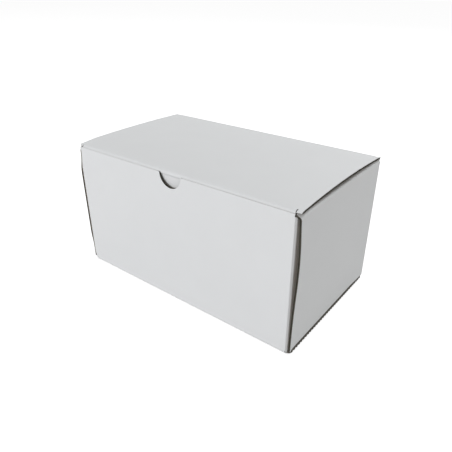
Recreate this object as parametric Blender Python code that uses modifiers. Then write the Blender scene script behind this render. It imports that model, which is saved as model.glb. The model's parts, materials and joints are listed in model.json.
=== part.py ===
"""Corrugated mailer box, folded from one die-cut sheet of thin fluted board.

The tray is the floor with its four walls: the side walls roll over at the top and come down again
inside, where lock tabs hold them in slots in the floor, and the front and back walls each have a wing
at both ends, folded in between the two layers of the side walls. The lid is hinged on the fold at the
top of the back wall, and its tuck flap goes down behind the front wall.

Metres, +Z up. The origin is at the middle of the underside and the front wall faces -Y. Every panel is
drawn as the middle surface of the board, and Solidify gives the sheet its thickness.
"""

import math

import bmesh
import bpy
from mathutils import Matrix, Vector

# Outside of the closed box, measured over the board at its folds
BOX_WIDTH = 0.200
BOX_DEPTH = 0.1155
BOX_HEIGHT = 0.105

# The board, its folds, and the clearance that folded layers keep to each other
BOARD = 0.0015
FOLD_INNER_RADIUS = 0.0005
LAYER_GAP = 0.0003

# Side walls: the front edges belly outwards, and the rolled top flares with them
SIDE_BELLY = 0.0011
ROLL_FLARE = 0.0003
EDGE_SETBACK = 0.0003
SIDE_CORNER_RISE = 0.0022

# Front and back walls: their end folds draw in a little at mid height
END_DRAW_IN = 0.0004
NOTCH_RADIUS = 0.0098
NOTCH_DEPTH = 0.0100

# Wings at the ends of the front and back walls
WING_LENGTH = 0.045
WING_CORNER = 0.010
WING_FOOT_CLEARANCE = 0.0008
WING_HEAD_CLEARANCE = 0.0005

# Lock tabs of the inner side walls, and the slots that take them
TAB_LENGTH = 0.018
TAB_SPREAD = 0.048
TAB_END_CLEARANCE = 0.0002

# Lid: panel, upward crown at each side, the ears beside the front fold with their corner cuts, and tuck flap
LID_EDGE_SETBACK = 0.0006
LID_HEEL_LENGTH = 0.0006
LID_CROWN_LEFT = 0.0010
LID_CROWN_RIGHT = 0.0020
EAR_SETBACK = 0.0016
EAR_CUT_LEFT = 0.0020
EAR_CUT_RIGHT = 0.0004
FLAP_LENGTH = 0.025
FLAP_CORNER = 0.012
FLAP_END_CLEARANCE = 0.0015
FLAP_CLEARANCE = 0.0004
FLAP_LEAN = math.radians(8)
FLAP_TIP_CLEARANCE = 0.0015

# Surface division
ARC_STEPS = 5
CORNER_STEPS = 5
WIDTH_STEPS = 16
DEPTH_STEPS = 12
HEIGHT_STEPS = 10
NOTCH_SEGMENTS = 64
CUT_OVERRUN = 0.002
WELD_DISTANCE = 0.00001

# Places that follow from the sizes above. Planes are those of the board's middle surface.
HALF_BOARD = BOARD / 2
FOLD_RADIUS = FOLD_INNER_RADIUS + HALF_BOARD
FOLD_OUTER_RADIUS = FOLD_INNER_RADIUS + BOARD
LAYER_PITCH = BOARD + LAYER_GAP

FRONT_PLANE = BOX_DEPTH / 2 - HALF_BOARD
SIDE_PLANE = BOX_WIDTH / 2 - HALF_BOARD
WING_PLANE = SIDE_PLANE - LAYER_PITCH
INNER_PLANE = WING_PLANE - LAYER_PITCH - END_DRAW_IN
LID_PLANE = BOX_HEIGHT - HALF_BOARD
ROLL_PLANE = LID_PLANE - LAYER_PITCH

FLOOR_HALF_WIDTH = SIDE_PLANE - FOLD_RADIUS
FLOOR_HALF_DEPTH = FRONT_PLANE - FOLD_RADIUS
FOLD_TOP = HALF_BOARD + FOLD_RADIUS
WALL_TOP = BOX_HEIGHT - FOLD_OUTER_RADIUS
WALL_HALF_WIDTH = WING_PLANE - FOLD_RADIUS
ROLL_START = ROLL_PLANE - FOLD_RADIUS
WING_FOOT = BOARD + WING_FOOT_CLEARANCE + LAYER_GAP
WING_HEAD = ROLL_PLANE - HALF_BOARD - WING_HEAD_CLEARANCE
SIDE_EDGE = BOX_DEPTH / 2 - EDGE_SETBACK

# The flap hangs from its fold just behind the front wall and leans inwards, so that it swings clear
FLAP_FACE = BOX_DEPTH / 2 - BOARD - FLAP_CLEARANCE
FLAP_REACH = BOARD + FLAP_LENGTH * math.sin(FLAP_LEAN)
LID_HALF_WIDTH = BOX_WIDTH / 2 - LID_EDGE_SETBACK
EAR_FRONT = BOX_DEPTH / 2 - EAR_SETBACK
INNER_FRONT_EDGE = -(FLAP_FACE - FLAP_REACH - FLAP_TIP_CLEARANCE)
INNER_REAR_EDGE = FLOOR_HALF_DEPTH - LAYER_GAP
TAB_CENTRE = (INNER_FRONT_EDGE + INNER_REAR_EDGE) / 2
TAB_TOP = BOARD + LAYER_GAP
WALL_END = INNER_PLANE + FOLD_RADIUS - HALF_BOARD - LAYER_GAP
FLAP_HALF_WIDTH = WALL_END - FLAP_END_CLEARANCE
FRONT_FOLD_START = -(FLAP_FACE - FOLD_OUTER_RADIUS)

HINGE_AXIS = Vector((0, BOX_DEPTH / 2, BOX_HEIGHT))


def divided(keys, steps):
    """Return the key places with the stretches between them cut into about this many steps in all."""
    run = keys[-1] - keys[0]
    places = [keys[0]]
    for start, end in zip(keys, keys[1:]):
        count = max(1, round(steps * (end - start) / run))
        places += [start + (end - start) * (i + 1) / count for i in range(count)]
    return places


def arc(centre, radius, start, end):
    """Return points round an arc, from the start angle to the end angle."""
    angles = [start + (end - start) * i / ARC_STEPS for i in range(ARC_STEPS + 1)]
    return [(centre[0] + radius * math.cos(a), centre[1] + radius * math.sin(a)) for a in angles]


def mirrored(half):
    """Return the places of a half list, from zero outwards, on both sides of zero."""
    return [-place for place in reversed(half) if place > 0] + list(half)


def rounded_end(length, corner):
    """Return (distance along, amount trimmed off each side) for a flap's free end with round corners."""
    angles = [math.pi / 2 * i / CORNER_STEPS for i in range(1, CORNER_STEPS + 1)]
    return [(length - corner * (1 - math.sin(a)), corner * (1 - math.cos(a))) for a in angles]


def add_grid(sheet, rows, columns, place, keep=None):
    """Add a grid of quads to the sheet. keep(row, column) drops a cell, named by its lower corner."""
    corners = {}

    def corner(i, j):
        if (i, j) not in corners:
            corners[i, j] = sheet.verts.new(place(rows[i], columns[j]))
        return corners[i, j]

    for i in range(len(rows) - 1):
        for j in range(len(columns) - 1):
            if keep is None or keep(i, j):
                ring = (corner(i, j), corner(i, j + 1), corner(i + 1, j + 1), corner(i + 1, j))
                sheet.faces.new(ring)


def middle(places, index):
    """Return the middle of the stretch that starts at this index."""
    return (places[index] + places[index + 1]) / 2


def swell(share):
    """Return a smooth hump: 0 at both ends of the span and 1 at its middle."""
    return 4 * share * (1 - share)


# Columns across the width and along the depth, shared by every panel that a fold joins
WIDTH_PLACES = mirrored(divided([0, WALL_END, WALL_HALF_WIDTH, FLOOR_HALF_WIDTH], WIDTH_STEPS / 2))
TAB_EDGES = [TAB_CENTRE + side * TAB_SPREAD / 2 + end * TAB_LENGTH / 2 for side in (-1, 1) for end in (-1, 1)]
DEPTH_KEYS = [-FLOOR_HALF_DEPTH, INNER_FRONT_EDGE, *TAB_EDGES, INNER_REAR_EDGE, FLOOR_HALF_DEPTH]
DEPTH_PLACES = divided(sorted(DEPTH_KEYS), DEPTH_STEPS)
SIDE_PLACES = [-SIDE_EDGE, *DEPTH_PLACES, SIDE_EDGE]
LID_PLACES = mirrored(divided([0, FLAP_HALF_WIDTH, WALL_END, LID_HALF_WIDTH], WIDTH_STEPS / 2))


def add_floor(sheet):
    """Add the floor panel, flat on the ground."""
    add_grid(sheet, DEPTH_PLACES, WIDTH_PLACES, lambda y, x: (x, y, HALF_BOARD))


def end_wall_stations(top):
    """Return (outwards, up) stations of a front or back wall, from the floor's edge to the top edge."""
    fold = arc((FLOOR_HALF_DEPTH, FOLD_TOP), FOLD_RADIUS, -math.pi / 2, 0)
    heights = divided([WING_FOOT, WING_HEAD], HEIGHT_STEPS)
    return fold + [(FRONT_PLANE, z) for z in [*heights, top]]


def drawn_in(z):
    """Return how far the end folds of a front or back wall draw in at this height."""
    return END_DRAW_IN * swell((z - FOLD_TOP) / (WALL_TOP - FOLD_TOP)) if z > FOLD_TOP else 0


def add_end_wall(sheet, facing, top):
    """Add the front wall (facing -1) or the back wall (facing 1), with a wing at each end."""
    stations = end_wall_stations(top)

    def place(station, x):
        out, z = station
        narrowing = 1 - drawn_in(z) / WALL_HALF_WIDTH
        return (x * narrowing, facing * out, z)

    def keep(i, j):
        reach = WALL_END if i == len(stations) - 2 else WALL_HALF_WIDTH
        return abs(middle(WIDTH_PLACES, j)) < reach

    add_grid(sheet, stations, WIDTH_PLACES, place, keep)
    for side in (-1, 1):
        add_wing(sheet, facing, side)


def add_wing(sheet, facing, side):
    """Add the wing that folds back from one end of a front or back wall."""
    heights = divided([WING_FOOT, WING_HEAD], HEIGHT_STEPS)
    centre = (WING_FOOT + WING_HEAD) / 2
    half = (WING_HEAD - WING_FOOT) / 2
    fold = arc((WALL_HALF_WIDTH, FLOOR_HALF_DEPTH), FOLD_RADIUS, math.pi / 2, 0)
    straight = divided([0, WING_LENGTH - WING_CORNER], HEIGHT_STEPS / 2)[1:]
    stations = [(x, y, 0) for x, y in fold]
    stations += [(WING_PLANE, FLOOR_HALF_DEPTH - along, 0) for along in straight]
    stations += [
        (WING_PLANE, FLOOR_HALF_DEPTH - along, trim) for along, trim in rounded_end(WING_LENGTH, WING_CORNER)
    ]

    def place(station, z):
        x, y, trim = station
        height = centre + (z - centre) * (half - trim) / half
        return (side * (x - drawn_in(z)), facing * y, height)

    add_grid(sheet, stations, heights, place)


def side_stations():
    """Return (outwards, up, flare share, inner) stations of a side wall, from the floor over the roll."""
    fold = arc((FLOOR_HALF_WIDTH, FOLD_TOP), FOLD_RADIUS, -math.pi / 2, 0)
    heights = divided([FOLD_TOP + SIDE_CORNER_RISE, ROLL_START], HEIGHT_STEPS)
    outer_roll = arc((FLOOR_HALF_WIDTH, ROLL_START), FOLD_RADIUS, 0, math.pi / 2)[1:]
    inner_roll = arc((INNER_PLANE + FOLD_RADIUS, ROLL_START), FOLD_RADIUS, math.pi / 2, math.pi)
    drops = divided([ROLL_START, TAB_TOP], HEIGHT_STEPS / 2)[1:]
    stations = [(x, z, 0, False) for x, z in fold]
    stations += [(SIDE_PLANE, z, None, False) for z in heights]
    stations += [(x, z, 1, False) for x, z in outer_roll]
    stations += [(x, z, 0, True) for x, z in inner_roll]
    stations += [(INNER_PLANE, z, 0, True) for z in drops]
    stations.append((INNER_PLANE, TAB_END_CLEARANCE, 0, True))
    return stations


def add_side_wall(sheet, side):
    """Add one side wall: outer layer, rolled top, inner layer and its lock tabs."""
    stations = side_stations()

    def place(station, y):
        x, z, flare, inner = station
        fade = ((SIDE_EDGE - y) / (2 * SIDE_EDGE)) ** 2
        if flare is None:
            rise = (z - FOLD_TOP) / (ROLL_START - FOLD_TOP)
            out = x + fade * (SIDE_BELLY * swell(rise) + ROLL_FLARE * rise)
        else:
            out = x + fade * ROLL_FLARE * flare
        on_fold = z <= FOLD_TOP and not inner
        edge = FLOOR_HALF_DEPTH if on_fold else SIDE_EDGE
        return (side * out, max(-edge, min(edge, y)), z)

    def keep(i, j):
        y = middle(SIDE_PLACES, j)
        if stations[i + 1][1] <= FOLD_TOP and not stations[i][3]:
            return abs(y) < FLOOR_HALF_DEPTH
        if not stations[i][3]:
            return True
        if i == len(stations) - 2:
            return any(abs(y - TAB_CENTRE - way * TAB_SPREAD / 2) < TAB_LENGTH / 2 for way in (-1, 1))
        return INNER_FRONT_EDGE < y < INNER_REAR_EDGE

    add_grid(sheet, stations, SIDE_PLACES, place, keep)


def lid_stations():
    """Return (y, z, crown share, trim, reach) stations of the lid, from the hinge fold to the flap's end.

    The reach is the half width of the strip that follows the station.
    """
    hinge_fold = arc((FLOOR_HALF_DEPTH, WALL_TOP), FOLD_RADIUS, 0, math.pi / 2)
    front_fold = arc((FRONT_FOLD_START, WALL_TOP), FOLD_RADIUS, math.pi / 2, math.pi + FLAP_LEAN)
    run = FLOOR_HALF_DEPTH - FRONT_FOLD_START
    panel = divided([FLOOR_HALF_DEPTH - LID_HEEL_LENGTH, FRONT_FOLD_START], DEPTH_STEPS)[:-1]
    stations = [(y, z, 0, 0, WALL_END) for y, z in hinge_fold]
    stations += [(y, LID_PLANE, swell((FLOOR_HALF_DEPTH - y) / run), 0, LID_HALF_WIDTH) for y in panel]
    stations += [(y, z, 0, 0, FLAP_HALF_WIDTH) for y, z in front_fold]
    start_y, start_z = front_fold[-1]
    straight = [(FLAP_LENGTH - FLAP_CORNER, 0)]
    for along, trim in straight + rounded_end(FLAP_LENGTH, FLAP_CORNER):
        y = start_y + along * math.sin(FLAP_LEAN)
        stations.append((y, start_z - along * math.cos(FLAP_LEAN), 0, trim, FLAP_HALF_WIDTH))
    return stations


def add_lid(sheet):
    """Add the lid panel with its hinge fold, its tuck flap and the ears beside the front fold."""
    stations = lid_stations()

    def place(station, x):
        y, z, crown_share, trim, _ = station
        crown = LID_CROWN_LEFT + (LID_CROWN_RIGHT - LID_CROWN_LEFT) * (x / LID_HALF_WIDTH + 1) / 2
        return (x * (1 - trim / FLAP_HALF_WIDTH), y, z + crown * crown_share)

    def keep(i, j):
        return abs(middle(LID_PLACES, j)) < stations[i][-1]

    add_grid(sheet, stations, LID_PLACES, place, keep)
    for side, corner_cut in ((-1, EAR_CUT_LEFT), (1, EAR_CUT_RIGHT)):
        add_ear(sheet, side, corner_cut)


def add_ear(sheet, side, corner_cut):
    """Add the ear that carries the lid panel on beside the end of the front fold, cut back at its corner."""

    def place(forward, out):
        share = (out - WALL_END) / (LID_HALF_WIDTH - WALL_END)
        front = -EAR_FRONT + corner_cut * share
        return (side * out, FRONT_FOLD_START + (front - FRONT_FOLD_START) * forward, LID_PLANE)

    add_grid(sheet, (0, 1), [out for out in LID_PLACES if out >= WALL_END], place)


def board_material(name):
    """Return the smooth white outer paper of the board."""
    material = bpy.data.materials.new(name)
    material.use_nodes = True
    surface = material.node_tree.nodes["Principled BSDF"]
    surface.inputs["Base Color"].default_value = (0.79, 0.80, 0.80, 1)
    surface.inputs["Roughness"].default_value = 0.6
    surface.inputs["Metallic"].default_value = 0
    return material


def board_object(name, sheet, collection, origin):
    """Return an object of solid board made from the sheet's middle surface, with its own origin."""
    bmesh.ops.remove_doubles(sheet, verts=sheet.verts, dist=WELD_DISTANCE)
    bmesh.ops.recalc_face_normals(sheet, faces=sheet.faces)
    bmesh.ops.transform(sheet, matrix=Matrix.Translation(-origin), verts=sheet.verts)
    mesh = bpy.data.meshes.new(name)
    sheet.to_mesh(mesh)
    sheet.free()
    mesh.materials.append(board_material(name + "_board"))
    piece = bpy.data.objects.new(name, mesh)
    piece.location = origin
    collection.objects.link(piece)
    thickness = piece.modifiers.new("board", "SOLIDIFY")
    thickness.thickness = BOARD
    thickness.offset = 0
    thickness.use_even_offset = True
    return piece


def cut(piece, cutter):
    """Cut the piece with the cutter, which stays in the scene as a wire guide."""
    cutter.display_type = "WIRE"
    cutter.hide_render = True
    boolean = piece.modifiers.new(cutter.name, "BOOLEAN")
    boolean.operation = "DIFFERENCE"
    boolean.solver = "EXACT"
    boolean.object = cutter


def cutter_object(name, shape, collection):
    """Return a cutter made from the bmesh."""
    mesh = bpy.data.meshes.new(name)
    shape.to_mesh(mesh)
    shape.free()
    cutter = bpy.data.objects.new(name, mesh)
    collection.objects.link(cutter)
    return cutter


def thumb_notch_cutter(collection):
    """Return the round bar that cuts the half-moon thumb notch in the front wall's top edge."""
    shape = bmesh.new()
    length = BOARD + 2 * CUT_OVERRUN
    centre = Vector((0, -FRONT_PLANE, WALL_TOP - NOTCH_DEPTH + NOTCH_RADIUS))
    bmesh.ops.create_cone(
        shape,
        cap_ends=True,
        segments=NOTCH_SEGMENTS,
        radius1=NOTCH_RADIUS,
        radius2=NOTCH_RADIUS,
        depth=length,
        matrix=Matrix.Translation(centre) @ Matrix.Rotation(math.pi / 2, 4, "X"),
    )
    return cutter_object("thumb_notch_cutter", shape, collection)


def tab_slot_cutter(collection, side, way):
    """Return the block that cuts the slot for one lock tab in the floor."""
    shape = bmesh.new()
    size = (BOARD + 2 * LAYER_GAP, TAB_LENGTH + 2 * LAYER_GAP, BOARD + 2 * CUT_OVERRUN)
    centre = Vector((side * INNER_PLANE, TAB_CENTRE + way * TAB_SPREAD / 2, HALF_BOARD))
    bmesh.ops.create_cube(shape, size=1, matrix=Matrix.Translation(centre) @ Matrix.Diagonal((*size, 1)))
    return cutter_object(f"tab_slot_cutter_{side}_{way}", shape, collection)


def new_collection(name):
    """Return a new collection in the scene."""
    collection = bpy.data.collections.new(name)
    bpy.context.scene.collection.children.link(collection)
    return collection


def main():
    """Build the tray and the lid."""
    for old in list(bpy.data.objects):
        bpy.data.objects.remove(old, do_unlink=True)
    box = new_collection("corrugated_mailer_box")
    cutters = new_collection("cutters")

    sheet = bmesh.new()
    add_floor(sheet)
    add_end_wall(sheet, -1, WALL_TOP)
    add_end_wall(sheet, 1, WALL_TOP - LAYER_GAP)
    for side in (-1, 1):
        add_side_wall(sheet, side)
    tray = board_object("tray", sheet, box, Vector((0, 0, 0)))
    cut(tray, thumb_notch_cutter(cutters))
    for side in (-1, 1):
        for way in (-1, 1):
            cut(tray, tab_slot_cutter(cutters, side, way))

    sheet = bmesh.new()
    add_lid(sheet)
    board_object("lid", sheet, box, HINGE_AXIS)


main()
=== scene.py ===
"""Corrugated mailer box: the looks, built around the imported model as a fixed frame.

The box is one die-cut sheet of thin fluted board. It is drawn here as such board is made: a smooth
white outer paper, a kraft inner paper, and fluting between them that shows wherever the board was cut.
Metres, +Z up, the front wall faces -Y.
"""

import json
import logging
import math
from dataclasses import dataclass, field
from enum import Enum
from typing import Callable, NamedTuple, Sequence

import bmesh
import bpy
from mathutils import Matrix, Vector
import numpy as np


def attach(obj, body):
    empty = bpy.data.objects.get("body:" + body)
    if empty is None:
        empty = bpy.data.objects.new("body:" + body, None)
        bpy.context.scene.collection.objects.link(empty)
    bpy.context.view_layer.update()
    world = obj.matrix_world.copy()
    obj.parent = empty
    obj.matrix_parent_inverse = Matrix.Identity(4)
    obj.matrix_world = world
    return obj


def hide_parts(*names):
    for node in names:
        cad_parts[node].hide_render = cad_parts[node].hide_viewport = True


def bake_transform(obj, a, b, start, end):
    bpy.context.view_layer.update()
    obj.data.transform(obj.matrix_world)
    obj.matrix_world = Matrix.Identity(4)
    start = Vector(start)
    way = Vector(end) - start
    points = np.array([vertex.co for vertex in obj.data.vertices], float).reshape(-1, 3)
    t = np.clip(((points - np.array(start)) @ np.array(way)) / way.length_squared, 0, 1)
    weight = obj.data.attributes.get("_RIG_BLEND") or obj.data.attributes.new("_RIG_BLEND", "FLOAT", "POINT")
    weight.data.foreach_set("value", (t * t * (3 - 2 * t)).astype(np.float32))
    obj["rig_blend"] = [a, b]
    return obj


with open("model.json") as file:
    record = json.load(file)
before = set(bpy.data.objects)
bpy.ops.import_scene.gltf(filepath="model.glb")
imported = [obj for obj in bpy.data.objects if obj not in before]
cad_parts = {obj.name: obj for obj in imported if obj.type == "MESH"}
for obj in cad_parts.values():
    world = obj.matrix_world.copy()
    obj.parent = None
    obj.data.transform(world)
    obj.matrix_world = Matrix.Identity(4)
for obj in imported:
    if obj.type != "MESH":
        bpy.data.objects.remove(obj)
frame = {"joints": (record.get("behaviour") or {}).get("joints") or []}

LOG = logging.getLogger("mailer_box")
MM = 0.001
BOX_WIDTH = 0.200
QUARTER = math.pi / 2
WELD_DISTANCE = 0.00001
SHARP_ANGLE = math.radians(40)
ROUND_STEPS = 9
FLAT_COSINE = math.cos(math.radians(4))
FLAT_REACH = 5 * MM
LEAST_SWING = 0.1 * MM
LEAST_ROOM = 0.4 * MM
POINT_LAYERS = ("flute_place", "top", "bottom")

Triple = tuple[float, float, float]
Profile = list[tuple[float, float]]
Socket = bpy.types.NodeSocket


class Side(Enum):
    """The two ends of the box's width, seen from the front."""

    LEFT = -1
    RIGHT = 1


class Facing(Enum):
    """Which way a front or back wall faces."""

    FRONT = -1
    BACK = 1


class Coat(Enum):
    """Material slots of a sheet's mesh, in their order."""

    OUTER = 0
    KRAFT = 1
    CUT = 2


class SheetPoint(NamedTuple):
    """One point of a board's middle surface.

    Args:
        co: where it is.
        place: where it is on the flat sheet, across the flutes.
        top, bottom: the offsets of the board's two faces from its middle surface, along the normal.
    """

    co: Vector
    place: float
    top: float
    bottom: float


class Ramp(NamedTuple):
    """A stretch over which a share eases from 0, at its start, to 1, a span further on."""

    start: float
    span: float

    def at(self, value: float) -> float:
        """Return the eased share at this value."""
        return smooth((value - self.start) / self.span)


@dataclass(frozen=True)
class Board:
    """Thin E-flute board.

    Args:
        caliper: thickness of the whole board.
        paper: thickness of each of its papers.
        flute_pitch: distance from one flute to the next.
        fold_inner_radius: radius on the inside of a fold.
        layer_gap: clearance that folded layers keep to each other.
        crest_gap: how far the fluting's crests stay off the papers.
    """

    caliper: float = 0.0015
    paper: float = 0.0002
    flute_pitch: float = 0.0032
    fold_inner_radius: float = 0.0005
    layer_gap: float = 0.0003
    crest_gap: float = 0.02 * MM

    @property
    def half(self) -> float:
        """Return half the thickness."""
        return self.caliper / 2

    @property
    def hollow(self) -> float:
        """Return the distance between the two papers."""
        return self.caliper - 2 * self.paper

    @property
    def crest_inset(self) -> float:
        """Return how far inside the faces the fluting turns: one and a half papers and the gap."""
        return 1.5 * self.paper + self.crest_gap

    @property
    def fold_radius(self) -> float:
        """Return the radius of a fold's middle surface."""
        return self.fold_inner_radius + self.half

    @property
    def pitch(self) -> float:
        """Return the distance between the middle surfaces of two layers that lie together."""
        return self.caliper + self.layer_gap


@dataclass
class BoxPlan:
    """Places of the box's panels. Planes are those of the board's middle surface.

    Args:
        board: the board that the box is folded from.
        width, depth, height: outside of the closed box over its folds.
        edge_setback: how far the side walls' edges stay behind the front and back walls' faces.
        corner_rise: how far above the floor's fold the side walls' split foot starts.
        end_draw_in: how far the back wall's end folds draw in at mid height.
        wing_length, wing_corner: a wing's length and the radius of its free corners.
        wing_lift, wing_drop: how far the wings stay off the floor and below the rolled tops.
        tab_length, tab_spread: a lock tab's length and the distance between the two.
        flap_length, flap_corner, flap_lean: the tuck flap's length, corner radius and lean.
        flap_gap, flap_end_gap, flap_tip_gap: its clearance to the front wall, at its ends and its tip.
        fold_front: how far forward the lid's front fold reaches.
        fold_x, ear_x: half the width of that fold, and where the right ear starts.
        wall_top_x, bend_x: columns at the front wall's top corner and inside the floor's side fold.
        notch_radius, notch_depth, notch_margin: the thumb notch and the narrow columns beside it.

    Attributes:
        front_plane, side_plane, wing_plane, inner_plane: planes of the front and back walls, the side
            walls' outer layers, the wings and the side walls' inner layers.
        lid_plane, roll_plane: heights of the lid panel and of the side walls' rolled tops.
        floor_x, floor_y: half the floor's width and depth between its folds, whose height is fold_top.
        wall_top, wall_x: the front wall's height, and half its width between its end folds.
        roll_start: the height at which the side walls start to roll over.
        wing_foot, wing_head: heights of the wings' edges.
        side_edge: how far the side walls reach to the front and rear.
        flap_face, flap_x: how far forward the tuck flap's face is, and half its width.
        wall_end, lid_x: half the width of the front wall's top edge and the lid's hinge, and of the lid.
        front_fold_start: where the lid's front fold starts.
        inner_front, inner_rear: the ends of the side walls' inner layers.
        slot_x, tab_centres: where the slots begin across the width, and the lock tabs' middles.
    """

    board: Board
    width: float
    depth: float
    height: float
    edge_setback: float = 0.0003
    corner_rise: float = 0.0022
    end_draw_in: float = 0.0004
    wing_length: float = 0.045
    wing_corner: float = 0.010
    wing_lift: float = 0.0008
    wing_drop: float = 0.0005
    tab_length: float = 0.018
    tab_spread: float = 0.048
    flap_length: float = 0.025
    flap_corner: float = 0.012
    flap_lean: float = math.radians(8)
    flap_gap: float = 0.0004
    flap_end_gap: float = 0.0015
    flap_tip_gap: float = 0.0015
    fold_front: float = 0.05685
    fold_x: float = 0.0958
    ear_x: float = 0.0965
    wall_top_x: float = 0.0961
    bend_x: float = 0.0971
    notch_radius: float = 0.0098
    notch_depth: float = 0.0100
    notch_margin: float = 0.0015

    @classmethod
    def from_frame(cls, board: Board) -> "BoxPlan":
        """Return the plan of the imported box, with its depth and height from the lid's hinge."""
        hinge = next(joint for joint in frame["joints"] if joint["name"] == "lid_hinge")
        return cls(board, width=BOX_WIDTH, depth=2 * hinge["pos_m"][1], height=hinge["pos_m"][2])

    def __post_init__(self) -> None:
        """Work out the planes, edges and heights that follow from the sizes."""
        board, radius = self.board, self.board.fold_radius
        self.front_plane = self.depth / 2 - board.half
        self.side_plane = self.width / 2 - board.half
        self.wing_plane = self.side_plane - board.pitch
        self.inner_plane = self.wing_plane - board.pitch - self.end_draw_in
        self.lid_plane = self.height - board.half
        self.roll_plane = self.lid_plane - board.pitch
        self.floor_x = self.side_plane - radius
        self.floor_y = self.front_plane - radius
        self.fold_top = board.half + radius
        self.wall_top = self.height - board.fold_inner_radius - board.caliper
        self.wall_x = self.wing_plane - radius
        self.roll_start = self.roll_plane - radius
        self.wing_foot = board.caliper + self.wing_lift + board.layer_gap
        self.wing_head = self.roll_plane - board.half - self.wing_drop
        self.side_edge = self.depth / 2 - self.edge_setback
        self.flap_face = self.depth / 2 - board.caliper - self.flap_gap
        self.wall_end = self.inner_plane + radius - board.half - board.layer_gap
        self.flap_x = self.wall_end - self.flap_end_gap
        self.lid_x = self.width / 2
        self.front_fold_start = -(self.fold_front - board.fold_inner_radius - board.caliper)
        reach = board.caliper + self.flap_length * math.sin(self.flap_lean)
        self.inner_front = -(self.flap_face - reach - self.flap_tip_gap)
        self.inner_rear = self.floor_y - board.layer_gap
        self.slot_x = self.inner_plane - board.half - board.layer_gap
        centre = (self.inner_front + self.inner_rear) / 2
        self.tab_centres = [centre - self.tab_spread / 2, centre + self.tab_spread / 2]

    def on_tab(self, y: float, margin: float = 0) -> bool:
        """Return whether a y value is on one of the lock tabs, widened by the margin at each end."""
        return any(abs(y - centre) < self.tab_length / 2 + margin for centre in self.tab_centres)

    def depth_places(self) -> list[float]:
        """Return the places along the depth that every panel beside the floor shares.

        Returns:
            The places as y values, in order.
        """
        ends = [
            centre + way * (self.tab_length / 2 + margin)
            for centre in self.tab_centres
            for way in (-1, 1)
            for margin in (0, self.board.layer_gap)
        ]
        keys = sorted([-self.floor_y, self.inner_front, *ends, self.inner_rear, self.floor_y])
        return divided(keys, steps=26)

    def width_places(self) -> list[float]:
        """Return the places across the width that the floor and the front and back walls share.

        Returns:
            The places as x values, in order.
        """
        steps = 12
        notch = [self.notch_radius * math.sin(QUARTER * i / steps) for i in range(steps + 1)]
        inside = divided([notch[-1], notch[-1] + self.notch_margin, self.slot_x], steps=14)[1:]
        ends = [self.wall_end, self.wall_top_x, self.wall_x, self.bend_x, self.floor_x]
        return mirrored(notch + inside + ends)


def divided(keys: Sequence[float], steps: float) -> list[float]:
    """Cut the stretches between key places into about this many steps in all.

    Args:
        keys: the places that are kept, in order.
        steps: how many steps the whole run has.

    Returns:
        All places, the keys among them.
    """
    run = keys[-1] - keys[0]
    places = [keys[0]]
    for start, end in zip(keys, keys[1:]):
        count = max(1, round(steps * (end - start) / run))
        places += [start + (end - start) * (i + 1) / count for i in range(count)]
    return places


def mirrored(half: Sequence[float]) -> list[float]:
    """Return the places of a half list, from zero outwards, on both sides of zero."""
    return [-place for place in reversed(half) if place > 0] + list(half)


def arc(
    centre: tuple[float, float], radius: float, start: float, end: float, steps: int = ROUND_STEPS
) -> Profile:
    """Return points round an arc, from its start angle to its end angle."""
    angles = [start + (end - start) * i / steps for i in range(steps + 1)]
    return [(centre[0] + radius * math.cos(a), centre[1] + radius * math.sin(a)) for a in angles]


def rounded_end(length: float, corner: float) -> Profile:
    """Return (distance along, amount trimmed off each side) for a flap's free end with round corners."""
    angles = [QUARTER * i / ROUND_STEPS for i in range(1, ROUND_STEPS + 1)]
    return [(length - corner * (1 - math.sin(a)), corner * (1 - math.cos(a))) for a in angles]


def runs(points: Sequence[Sequence[float]], start: float) -> list[float]:
    """Return the run on the flat sheet of each point of a profile.

    Args:
        points: the profile.
        start: the first point's run.

    Returns:
        The runs, in the order of the points.
    """
    total = [start]
    for first, second in zip(points, points[1:]):
        total.append(total[-1] + math.dist(first, second))
    return total


def middle(places: Sequence[float], index: int) -> float:
    """Return the middle of the stretch that starts at this index."""
    return (places[index] + places[index + 1]) / 2


def middle_of(edge: bmesh.types.BMEdge) -> Vector:
    """Return the point halfway along an edge."""
    return (edge.verts[0].co + edge.verts[1].co) / 2


def swell(share: float) -> float:
    """Return a smooth hump: 0 at both ends of the span and 1 at its middle."""
    return 4 * share * (1 - share)


def held(share: float) -> float:
    """Return the share held to the range from 0 to 1."""
    return max(0.0, min(1.0, share))


def smooth(share: float) -> float:
    """Return the share held to the range from 0 to 1, and eased in and out."""
    share = held(share)
    return share * share * (3 - 2 * share)


def rim(loop: bmesh.types.BMLoop, upper: int, lower: int) -> tuple[int, ...]:
    """Return the quad that joins two skins along an edge, from where their point numbers start."""
    first, second = loop.vert.index, loop.link_loop_next.vert.index
    return (upper + second, upper + first, lower + first, lower + second)


def new_object(name: str, mesh: bpy.types.Mesh, shaded: bool = True) -> bpy.types.Object:
    """Return a new object, linked to the scene.

    Args:
        name: the object's name.
        mesh: its mesh.
        shaded: whether it is shaded smooth, but for its sharp edges.

    Returns:
        The object.
    """
    if shaded:
        mesh.shade_smooth()
        mesh.set_sharp_from_angle(angle=SHARP_ANGLE)
    made = bpy.data.objects.new(name, mesh)
    bpy.context.scene.collection.objects.link(made)
    return made


def write_out(shape: bmesh.types.BMesh, mesh: bpy.types.Mesh) -> None:
    """Turn a shape's faces outwards and write it into a mesh.

    Args:
        shape: the shape, which is freed.
        mesh: the mesh that takes it.
    """
    bmesh.ops.recalc_face_normals(shape, faces=shape.faces)
    shape.to_mesh(mesh)
    shape.free()


def store(mesh: bpy.types.Mesh, attributes: dict[str, Sequence[float]]) -> None:
    """Store float attributes, given by name, on a mesh's points."""
    for name, values in attributes.items():
        mesh.attributes.new(name, "FLOAT", "POINT").data.foreach_set("value", values)


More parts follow.
